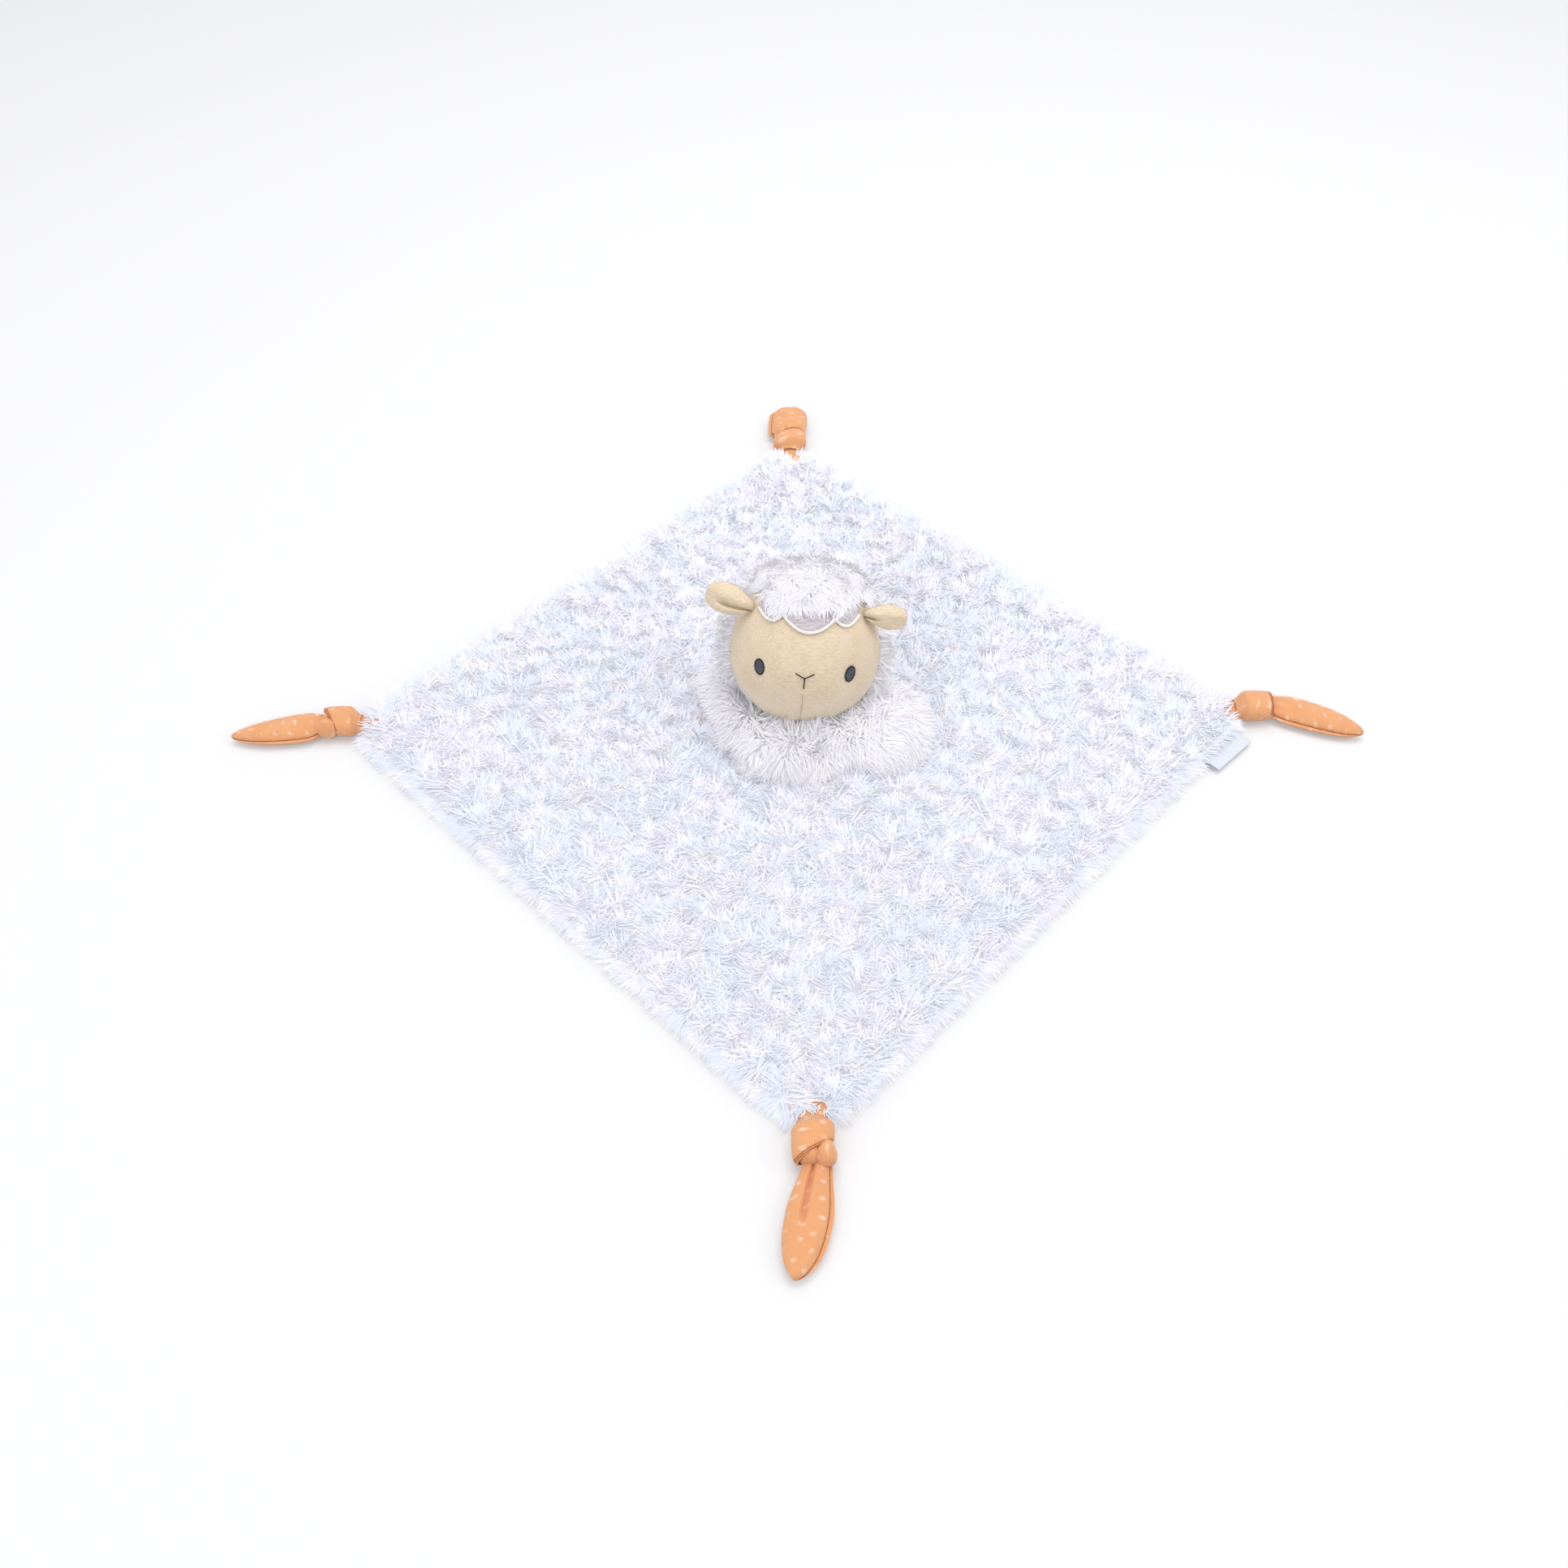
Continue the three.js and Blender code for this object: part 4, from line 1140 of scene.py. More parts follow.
    def build_lining(self, shop: Workshop) -> None:
        """Make the jersey lining that lies on the floor.

        Args:
            shop: Finishes and trees.
        """
        count, hem, wall = 41, 5, 1.0
        side = np.linspace(-1, 1, count)
        across, along = np.meshgrid(side, side)
        reach = (CORNER - hem) / 2
        x, y = (across - along) * reach, (across + along) * reach
        z = 1.12 + 0.05 * ripple(at(x, y, 0.0), 21, 8)
        sheet = piece("lining", at(x, y, z), grid_faces(count, count), shop.wear.jersey)
        lay_uv(sheet, at(across, along) * reach * math.sqrt(2))
        thicken(sheet, wall)
        finish_piece(sheet, "blanket", "jersey", "blanket_lining")


# Head


@dataclass(frozen=True)
class HeadShape:
    """Form and place of the head.

    Its own axes are X to the side, -Y through the face and Z to the crown.

    Attributes:
        centre: Middle of the head in the frame.
        half: Half sizes of the head.
        axes: Directions of the head's own axes, one to a column.
        eye_x: From the middle line to the middle of an eye.
        eye_z: Height of the eyes.
    """

    centre: tuple[float, float, float] = (3, 4, 49)
    half: tuple[float, float, float] = (37, 32, 37.5)
    axes: tuple[tuple[float, float, float], ...] = (
        (0.99540, 0.0, 0.09585),
        (-0.05901, 0.78801, 0.61283),
        (-0.07553, -0.61566, 0.78439),
    )
    eye_x: float = 21.8
    eye_z: float = -7.7

    def place(self, points: Array) -> Array:
        """Return points of the head's own axes in the frame."""
        return points @ np.array(self.axes).T + np.array(self.centre)

    def turn(self, vectors: Array) -> Array:
        """Return vectors of the head's own axes as vectors of the frame."""
        return vectors @ np.array(self.axes).T

    def own(self, points: Array) -> Array:
        """Return points of the frame in the head's own axes."""
        return (points - np.array(self.centre)) @ np.array(self.axes)

    def share(self, up: Array) -> Array:
        """How wide the head is at a height from -1 to 1: full cheeks, a narrower chin."""
        below = np.maximum(-up, 0)
        return 1 - 0.06 * below**3 + 0.05 * below * (1 - below)

    def form(self, ball: Array, lift: Array | float) -> Array:
        """Lay out the head's surface over a unit ball.

        Args:
            ball: Directions on the unit ball.
            lift: How far the surface is raised.

        Returns:
            Points in the head's own axes.
        """
        share = self.share(ball[..., 2])
        wide, deep, tall = self.half
        return ball * at(wide * share + lift, deep * share + lift, tall + lift)

    def within(self, points: Array, lift: Array | float) -> Array:
        """Measure how far out points lie.

        Args:
            points: Points in the head's own axes.
            lift: How far the surface is raised.

        Returns:
            Shares of the way to the raised surface, below 1 inside it.
        """
        wide, deep, tall = self.half
        up = points[..., 2] / (tall + lift)
        share = self.share(np.clip(up, -1, 1))
        x, y = points[..., 0] / (wide * share + lift), points[..., 1] / (deep * share + lift)
        return np.sqrt(x * x + y * y + up * up)

    def relief(self, x: Array, z: Array) -> Array:
        """Shape the small stuffed forms of the face: muzzle, chin dart and the pull of the stitches.

        Args:
            x: Places to the side in the front view.
            z: Places upward in the front view.

        Returns:
            Heights over the plain surface, in millimetres.
        """
        muzzle = 1.1 * bell(np.hypot(x / 15, (z + 15) / 12))
        dart = smoothstep(-z, 16.5, 21) * (0.9 * bell(x / 0.75) + 0.45 * bell(x / 3.2))
        eyes = 0.75 * bell(np.hypot((np.abs(x) - self.eye_x) / 4.6, (z - self.eye_z) / 6.2))
        nose = 0.4 * bell(np.hypot(x / 5, (z + 12) / 4))
        return muzzle - dart - eyes - nose

    def front(self, x: Array, z: Array, lift: float) -> Array:
        """Lay places of the front view on the face.

        Args:
            x: Places to the side in the front view.
            z: Places upward in the front view.
            lift: How far the surface is raised.

        Returns:
            Points in the head's own axes.
        """
        up = np.clip(z / (self.half[2] + lift), -1, 1)
        share = self.share(up)
        side = x / (self.half[0] * share + lift)
        depth = (self.half[1] * share + lift) * np.sqrt(np.maximum(1 - side * side - up * up, 0))
        return at(x, -depth - self.relief(x, z), z)

    def lay(self, path: Array, lift: float) -> Array:
        """Points of the frame on the face along places of the front view."""
        return self.place(self.front(path[:, 0], path[:, 1], lift))

    def facing(self, x: Array, z: Array, lift: float) -> Array:
        """Find which way the face looks at places of the front view.

        Args:
            x: Places to the side in the front view.
            z: Places upward in the front view.
            lift: How far the surface is raised.

        Returns:
            Outward unit vectors.
        """
        step = 0.3
        across = self.front(x + step, z, lift) - self.front(x - step, z, lift)
        rise = self.front(x, z + step, lift) - self.front(x, z - step, lift)
        return unit(np.cross(across, rise))


def half_ball(rows: int, columns: int, reach: float) -> tuple[Array, Faces]:
    """Directions of a cap round +Z and its faces, with a closed pole.

    Args:
        rows: Rings of the cap.
        columns: Points in a ring.
        reach: Angle from the pole to the last ring.

    Returns:
        The directions, the pole first, and the faces, turned outward.
    """
    polar = np.linspace(0, reach, rows + 1)[1:, None]
    turn = np.linspace(0, 2 * math.pi, columns, endpoint=False)[None, :]
    rings = at(np.sin(polar) * np.cos(turn), np.sin(polar) * np.sin(turn), np.cos(polar))
    points = np.vstack([[0, 0, 1], rings.reshape(-1, 3)])
    fan = [(0, 1 + i, 1 + (i + 1) % columns) for i in range(columns)]
    quads = [tuple(1 + i for i in (a, d, c, b)) for a, b, c, d in grid_faces(rows, columns, wrap=True)]
    return points, fan + quads


def full_ball(rows: int, columns: int) -> tuple[Array, Faces]:
    """Lay out a whole ball with its poles on X.

    Args:
        rows: Rings between the poles.
        columns: Points in a ring.

    Returns:
        Directions, and faces that are turned outward.
    """
    points, faces = half_ball(rows, columns, math.pi * rows / (rows + 1))
    last = len(points)
    points = np.vstack([points, [0, 0, -1]])
    start = 1 + (rows - 1) * columns
    faces += [(last, start + (i + 1) % columns, start + i) for i in range(columns)]
    return points[:, [2, 0, 1]], faces


STITCH_SIZES = ("Spacing", "Length", "Thickness", "Height")
SATIN_SLANT = math.radians(80)


@dataclass
class Head:
    """Face, embroidery, hood and hair cap.

    Attributes:
        shape: Form and place of the head.
        scallops: Ends and lowest point of each scallop in the front view.
        hood_pile: Pile of the hood.
        hair_pile: Pile of the hair cap.
    """

    shape: HeadShape = field(default_factory=HeadShape)
    scallops: tuple[tuple[float, ...], ...] = (
        (-24, 20, -12.5, 18, 15),
        (-12.5, 18, 12.5, 18, 10.8),
        (12.5, 18, 24, 20, 15),
    )
    hood_pile: Pile = Pile(
        density=1.9, length=10.5, thickness=1.3, widen=1.5, bends=2, lean=0.6, droop=0.3,
        rosette=9, swirl=0.7, mess=0.9, comb=1.2, tilt=0.5, seed=61, lift=4.0,
    )
    hair_pile: Pile = Pile(
        density=3.2, length=8.4, thickness=1.1, widen=1.4, bends=2, lean=0.8, droop=0.5,
        rosette=9, swirl=0.9, mess=0.9, comb=1.5, tilt=0.35, seed=62, lift=2.0,
    )

    def build(self, shop: Workshop) -> None:
        """Make every piece of the head.

        Args:
            shop: Finishes and trees.
        """
        self.build_face(shop)
        self.build_stitches(shop)
        self.build_applique(shop)
        self.build_hood(shop)
        self.build_hair(shop)

    def build_face(self, shop: Workshop) -> None:
        """Make the velour face panel, which turns in under the hood's pile.

        Args:
            shop: Finishes and trees.
        """
        ball, faces = half_ball(64, 128, math.radians(93.5))
        ball = ball[:, [0, 2, 1]] * [1, -1, 1]
        points = self.shape.form(ball, 0.0)
        weight = smoothstep(-ball[:, 1], 0.1, 0.45)
        points[:, 1] -= self.shape.relief(points[:, 0], points[:, 2]) * weight
        points += 0.22 * ripple(points, 30, 4)[:, None] * ball
        face = piece("face_skin", self.shape.place(points), faces, shop.wear.velour)
        thicken(face, 1.0)
        finish_piece(face, "head", "velour", "face_panel")

    def scallop(self, number: int, share: Array) -> Array:
        """Follow one scallop in the front view.

        Args:
            number: Which scallop.
            share: How far along it, from 0 to 1.

        Returns:
            Places to the side and upward.
        """
        x0, z0, x1, z1, lowest = self.scallops[number]
        middle = np.array([(x0 + x1) / 2, 2 * lowest - (z0 + z1) / 2])
        share = np.asarray(share)[:, None]
        first, last = np.array([x0, z0]), np.array([x1, z1])
        return (1 - share) ** 2 * first + 2 * share * (1 - share) * middle + share**2 * last

    def sew(
        self,
        shop: Workshop,
        name: str,
        paths: list[Array],
        sizes: tuple[float, ...],
        lift: float,
        material: Material,
        closed: bool = False,
    ) -> Object:
        """Set stitches along lines of the front view.

        Args:
            shop: Finishes and trees.
            name: Name of the piece.
            paths: Places in the front view, two numbers to a row.
            sizes: Spacing, length, thickness and height of the stitches, and slant in radians.
            lift: Height of the stitches' middle over the face.
            material: Thread.
            closed: Whether each line ends where it starts.

        Returns:
            The piece.
        """
        lines = [self.shape.lay(path, lift) for path in paths]
        out = [self.shape.turn(self.shape.facing(p[:, 0], p[:, 1], lift)) for p in paths]
        *lengths, slant = sizes
        values = {key: size * MM for key, size in zip(STITCH_SIZES, lengths)}
        values |= {"Slant": slant, "Material": material}
        return run_tree(name, strands(lines, closed, out), shop.stitch_tree, values)

    def build_stitches(self, shop: Workshop) -> None:
        """Make the trim, the eyes, the nose and the chin seam.

        Args:
            shop: Finishes and trees.
        """
        wear = shop.wear
        cords = [self.scallop(i, np.linspace(0, 1, 40)) for i in range(3)]
        sizes = (0.28, 1.6, 0.42, 1.0, SATIN_SLANT)
        trim = self.sew(shop, "scallop_stitches", cords, sizes, 0.95, wear.satin)
        finish_piece(trim, "head", "satin_thread", "scallop_trim")
        for name, side in (("left", -1), ("right", 1)):
            self.build_eye(shop, name, side)
        fork = np.array([0.0, -11.0])
        lines = [np.linspace(end, fork, 16) for end in ((-4.2, -8.9), (4.2, -8.7))]
        lines.append(np.linspace(fork, (0.0, -15.6), 16))
        nose = self.sew(shop, "nose_thread", lines, (0.3, 1.1, 0.55, 0.5, 0.25), 0.3, wear.dark)
        finish_piece(nose, "head", "dark_thread", "nose_stitch")
        down = np.linspace(-19.5, -32.5, 34)
        path = self.shape.lay(at(0.12 * np.sin(down), down), -0.05)
        chin = shop.thread("chin_thread", [path], 0.2, 8, wear.crease)
        finish_piece(chin, "head", "sewing_thread", "chin_seam")

    def build_eye(self, shop: Workshop, name: str, side: int) -> None:
        """Make one eye: a slightly leaning oval rim of stitches and its rows of fill.

        Args:
            shop: Finishes and trees.
            name: Side of the face.
            side: -1 for the left and 1 for the right.
        """
        wear, lean = shop.wear, 0.12 * side
        middle = np.array([side * self.shape.eye_x, self.shape.eye_z])
        turn = np.linspace(0, 2 * math.pi, 48, endpoint=False)
        x, z = 2.15 * np.cos(turn), 3.65 * np.sin(turn)
        oval, label = middle + at(x + lean * z, z), f"eye_{name}_rim"
        sizes = (0.24, 0.85, 0.34, 0.6, SATIN_SLANT)
        outline = self.sew(shop, label, [oval], sizes, 0.45, wear.dark, closed=True)
        finish_piece(outline, "head", "dark_thread", f"eye_{name}_outline")
        lines = []
        for across in np.linspace(-1.6, 1.6, 9):
            reach = 3.3 * math.sqrt(max(1 - (across / 1.95) ** 2, 0.05))
            up = np.linspace(-reach, reach, 9)
            lines.append(self.shape.lay(middle + at(across + lean * up, up), 0.42))
        fill = shop.thread(f"eye_{name}_satin", lines, 0.24, 8, wear.grey)
        finish_piece(fill, "head", "grey_thread", f"eye_{name}_fill")

    def build_applique(self, shop: Workshop) -> None:
        """Make the lilac hairline panel between the scallops and the hair.

        Args:
            shop: Finishes and trees.
        """
        rows, top, end = 14, 26, self.scallops[-1][2:4]
        edge = [self.scallop(i, np.linspace(0, 1, 24)[:-1]) for i in range(3)]
        x, low = np.vstack([*edge, [end]]).T
        z = low + np.linspace(0, 1, rows)[:, None] * (top - low)
        points = self.shape.place(self.shape.front(x, z, 0.95))
        panel = piece("hairline_panel", points, grid_faces(rows, len(x)), shop.wear.lilac)
        thicken(panel, 0.65)
        finish_piece(panel, "head", "lilac_velour", "hairline_applique")

    def build_hood(self, shop: Workshop) -> None:
        """Make the plush hood at the sides and back of the head.

        Args:
            shop: Finishes and trees.
        """
        ball, faces = half_ball(46, 96, math.radians(93.0))
        ball = ball[:, [0, 2, 1]] * [-1, 1, 1]
        full = mix(3.5, 6.0, smoothstep(ball[:, 1], 0, 0.5))
        lift = 0.32 * mix(0.8, full, smoothstep(ball[:, 2], -0.65, -0.2))
        lift = mix(0.35, lift, smoothstep(ball[:, 1], -0.05, 0.12))
        points = self.shape.form(ball, lift)
        under = smoothstep(ball[:, 2], -0.62, -0.3)
        grow = mix(0.16, 1.0, under)
        rim = 1 - smoothstep(ball[:, 1], 0.0, 0.35)
        comb = at(0.9 * ball[:, 0], 0.3 - 0.7 * rim, -0.3 + 0.4 * ball[:, 2])
        placed, comb = self.shape.place(points), self.shape.turn(comb)
        fleece = shop.wear.fleece
        tuft = self.hood_pile.grow(shop, "hood_pile", fleece, placed, faces, comb, grow)
        finish_piece(tuft, "head", "cream_plush")
        made = piece("hood_skin", placed, faces, shop.wear.fleece_cloth)
        thicken(made, 0.8)
        finish_piece(made, "head", "cream_plush", "head_back_panel")

    def build_hair(self, shop: Workshop) -> None:
        """Make the fluffy hair cap, whose locks fall over the hairline panel.

        Args:
            shop: Finishes and trees.
        """
        ball, faces = half_ball(60, 120, math.radians(125))
        angle = np.arctan2(ball[:, 1], ball[:, 0])
        lump = 1 + 0.05 * (np.sin(5 * angle) * (1 - ball[:, 2] ** 2) + np.sin(3 * angle + 1))
        depth = 5.2
        x = ball[:, 0] * (32.5 - depth) * lump
        y = ball[:, 1] * (26 - depth) * lump - 7
        sag = 8.5 * np.square(x / 27) * smoothstep(-ball[:, 1], 0, 0.5)
        z = ball[:, 2] * (20 - depth) + 26.6 - sag
        points = at(x, y, z)
        points += 1.1 * ripple(points, 17, 9)[:, None] * ball
        out = self.shape.within(points, 2.2)
        rim = out < 1
        points[rim] /= out[rim, None]
        faces = [face for face in faces if not rim[list(face)].all()]
        used = np.unique(np.concatenate([np.array(face) for face in faces]))
        order = {int(old): new for new, old in enumerate(used)}
        faces = [tuple(order[i] for i in face) for face in faces]
        placed, ball = self.shape.place(points[used]), ball[used]
        low = smoothstep(-ball[:, 2], -0.2, 0.4)
        comb = self.shape.turn(at(0.55 * ball[:, 0] * (1 - low), -0.75, -0.35 - 0.7 * low))
        fleece, full = shop.wear.fleece, np.ones(len(placed))
        tuft = self.hair_pile.grow(shop, "hair_pile", fleece, placed, faces, comb, full)
        finish_piece(tuft, "head", "cream_plush")
        skin = piece("hair_skin", placed, faces, shop.wear.fleece_cloth)
        thicken(skin, 0.9)
        finish_piece(skin, "head", "cream_plush", "hair_cap")


@dataclass
class Ear:
    """A soft ear, folded once so that its lower edge stands out under a crease.

    Attributes:
        name: Name of its body.
        pivot: Place of its root in the frame.
        along: Direction from root to tip.
        across: The head's own Y in the frame; the ear's front looks the other way.
        crease: Where the crease lies across the ear's width, from -1 to 1.
        crease_end: How far along the ear the crease runs.
        slim: Share of the full width.
        reach: Share of the full length.
        mirror: Which way the ear's width runs.
        root: How far the ear's end reaches back of its pivot, and half its width there.
        half: Half the ear's length, depth and width.
        power: Roundness of its outline, where 2 is an ellipse.
    """

    name: str
    pivot: tuple[float, float, float]
    along: tuple[float, float, float]
    across: tuple[float, float, float] = (0.0, 0.78801, -0.61566)
    crease: float = -0.35
    crease_end: float = 0.8
    slim: float = 1.0
    reach: float = 1.0
    mirror: int = 1
    root: float = 4.6
    half: tuple[float, float, float] = (12, 4.2, 7.5)
    power: float = 2.6

    def build(self, shop: Workshop) -> None:
        """Make the ear's skin and the seam round it.

        Args:
            shop: Finishes and trees.
        """
        ball, faces = full_ball(72, 72)
        length, depth, half_width = self.half
        along = (ball[:, 0] + 1) / 2
        circle = np.sqrt(np.maximum(1 - ball[:, 0] ** 2, 1e-6))
        blunt = np.where(np.abs(ball[:, 0]) > 0.999, 1, self.blunt(ball[:, 0]) / circle)
        ball = ball * at(1.0, blunt, blunt)
        points = np.empty_like(ball)
        points[:, 0] = (length * ball[:, 0] + length) * self.reach - self.root
        points[:, 2] = ball[:, 2] * half_width * self.widen(along) * self.slim
        points[:, 1] = ball[:, 1] * depth * mix(1, 0.8, along)
        width = ball[:, 2]
        front = smoothstep(-ball[:, 1], 0.0, 0.35)
        line = self.crease + 0.25 * np.square(along - 0.3)
        fade = 1 - smoothstep(along, self.crease_end - 0.25, self.crease_end)
        fold = bell((width - line) / 0.13) * fade * front
        lip = bell((width - line + 0.36) / 0.26) * fade * front
        points[:, 1] += 3.6 * fold - 1.4 * lip
        points[:, 2] += 0.5 * fold * np.sign(line)
        points[:, 1] -= 1.3 * front * bell((width - line - 0.55) / 0.4)
        points += 0.16 * ripple(points, 11, 31)[:, None] * ball
        skin = piece(f"{self.name}_skin", self.place(points), faces, shop.wear.velour)
        nodes = [f"{self.name}_{part}" for part in ("front", "back", "filling")]
        finish_piece(skin, self.name, "velour", *nodes)
        turn = np.linspace(-math.pi * 0.93, math.pi * 0.93, 64)
        wide = self.widen((np.cos(turn) + 1) / 2) * self.blunt(np.cos(turn)) * np.sign(turn)
        reach = ((length - 0.05) * np.cos(turn) + length) * self.reach - self.root
        rim = at(reach, 0.6, (half_width - 0.05) * self.slim * wide)
        seam = shop.thread(f"{self.name}_seam", [self.place(rim)], 0.14, 6, shop.wear.crease)
        finish_piece(seam, self.name, "sewing_thread")

    def widen(self, along: Array) -> Array:
        """Share of the full width along the ear, narrow at the root."""
        return mix(self.root / self.half[2], 1, smoothstep(along, 0, 0.6))

    def blunt(self, along: Array) -> Array:
        """Half width of the blunt outline at places from -1 to 1."""
        return (1 - np.abs(along) ** self.power) ** (1 / self.power)

    def place(self, points: Array) -> Array:
        """Carry points of the ear to the frame.

        Args:
            points: Points in the ear's own axes.

        Returns:
            Points in the frame.
        """
        along, across = np.array(self.along), np.array(self.across)
        axes = np.array([along, across, np.cross(along, across) * self.mirror])
        return points @ axes + np.array(self.pivot)


# Collar


@dataclass
class Collar:
    """Gathered plush round the neck, in deep puffy folds.

    Attributes:
        head: Form of the head, which the collar stays clear of.
        blanket: The blanket, which it lies on.
        bore: Radius of the hole round the neck.
        reach: How far the folds reach from the neck, on average.
        depth: Thickness of the pile, by which the cloth lies inside the folds.
        rows: Points of the cloth from the bore to the floor.
        columns: Points of the cloth round the neck.
        pile: How its pile grows.
    """

    head: HeadShape
    blanket: Blanket
    bore: float = 16.5
    reach: float = 58
    depth: float = 4.6
    rows: int = 40
    columns: int = 200
    pile: Pile = Pile(
        density=2.1, length=8.6, thickness=1.15, widen=1.5, bends=2, lean=0.75, droop=0.5,
        rosette=11, swirl=0.8, mess=0.9, comb=1.3, tilt=0.4, seed=71, lift=1.5,
    )

    def outline(self, angle: Array) -> Array:
        """Draw the outline of the folds.

        Args:
            angle: Headings in radians.

        Returns:
            Reaches from the middle of the neck.
        """
        sway = 1 + 0.4 * np.sin(angle)
        folds = 6 * (np.cos(4 * angle + math.radians(126)) * sway - 1)
        bulge = 17 * bell((angle + math.radians(18)) / math.radians(29))
        drawn_in = 7 * bell((angle + math.radians(128)) / math.radians(24))
        return (self.reach + folds + bulge - drawn_in) * (1 - 0.2 * smoothstep(np.sin(angle), 0, 1))

    def surface(self) -> tuple[Array, Array, Array]:
        """Lay out the cloth from the bore over the crest to the floor.

        Returns:
            Points, the vector to comb each towards, and how far the pile grows there.
        """
        turn = np.linspace(-math.pi, math.pi, self.columns, endpoint=False)[None, :]
        arc = np.linspace(0, math.pi, self.rows)[:, None]
        out = -np.cos(arc)
        rise = np.sin(arc) ** 0.8
        wobble = 0.02 * np.sin(9 * turn + 1.3) + 0.015 * np.sin(14 * turn)
        reach = (self.outline(turn) - self.depth) * (1 + wobble)
        radius = mix(self.bore, reach, (out + 1) / 2)
        x, y = radius * np.cos(turn), radius * np.sin(turn)
        dip = (1 + np.cos(7 * turn)) / 2
        low = self.blanket.height(x, y) + 1.2
        high = (21 - self.depth) * (1 - 0.18 * dip)
        valley = bell((turn + math.radians(80)) / math.radians(10)) * smoothstep(out, -0.4, 0.5)
        z = low + rise * high * (1 - 0.75 * valley)
        points = at(x, y, z)
        points[..., 2] += 1.4 * ripple(points, 24, 12) * rise
        for _ in range(60):
            own = self.head.own(points + [0, 0, 1.2])
            lift = 1.5 + self.depth * 0.3 + np.where(own[..., 1] > 0, 2.5, 0)
            inside = (self.head.within(own, lift) < 1) & (points[..., 2] > low)
            if not inside.any():
                break
            lower = np.maximum(points[..., 2] - 0.5, low)
            points[..., 2] = np.where(inside, lower, points[..., 2])
        away = at(np.cos(turn), np.sin(turn), -0.5)
        chin = bell((turn + math.radians(90)) / math.radians(50)) * smoothstep(-out, -0.3, 0.3)
        comb = away * (1.7 * smoothstep(out, -0.2, 1) - 0.9 * smoothstep(-out, -0.1, 0.6))[..., None]
        front = bell((turn + math.radians(90)) / math.radians(55)) * (1 - smoothstep(out, 0.0, 0.6))
        comb = comb + at(0.0, -0.2 * chin, 1.2 * chin) - away * (1.5 * front)[..., None]
        grow = mix(0.7, 1, smoothstep(out, -0.9, -0.3)) + 0.5 * chin + 0.4 * front
        return points, comb, grow

    def build(self, shop: Workshop) -> None:
        """Make the collar's cloth and its pile.

        Args:
            shop: Finishes and trees.
        """
        points, comb, grow = self.surface()
        faces = [face[::-1] for face in grid_faces(self.rows, self.columns, wrap=True)]
        for name, low in (("front", 0), ("rear", self.columns // 2)):
            high = low + self.columns // 2
            chosen = [face for i, face in enumerate(faces) if low <= i % self.columns < high]
            label, fleece = f"collar_pile_{name}", shop.wear.fleece
            tuft = self.pile.grow(shop, label, fleece, points, chosen, comb, grow)
            finish_piece(tuft, "blanket", "cream_plush")
        skin = piece("collar_cloth", points, faces, shop.wear.fleece_cloth)
        thicken(skin, 0.9)
        finish_piece(skin, "blanket", "cream_plush", "collar")


# Ties


class TailStyle(Enum):
    """How a tail lies in the photograph."""

    GROOVED = "grooved"
    LEAF = "leaf"
    CURLED = "curled"


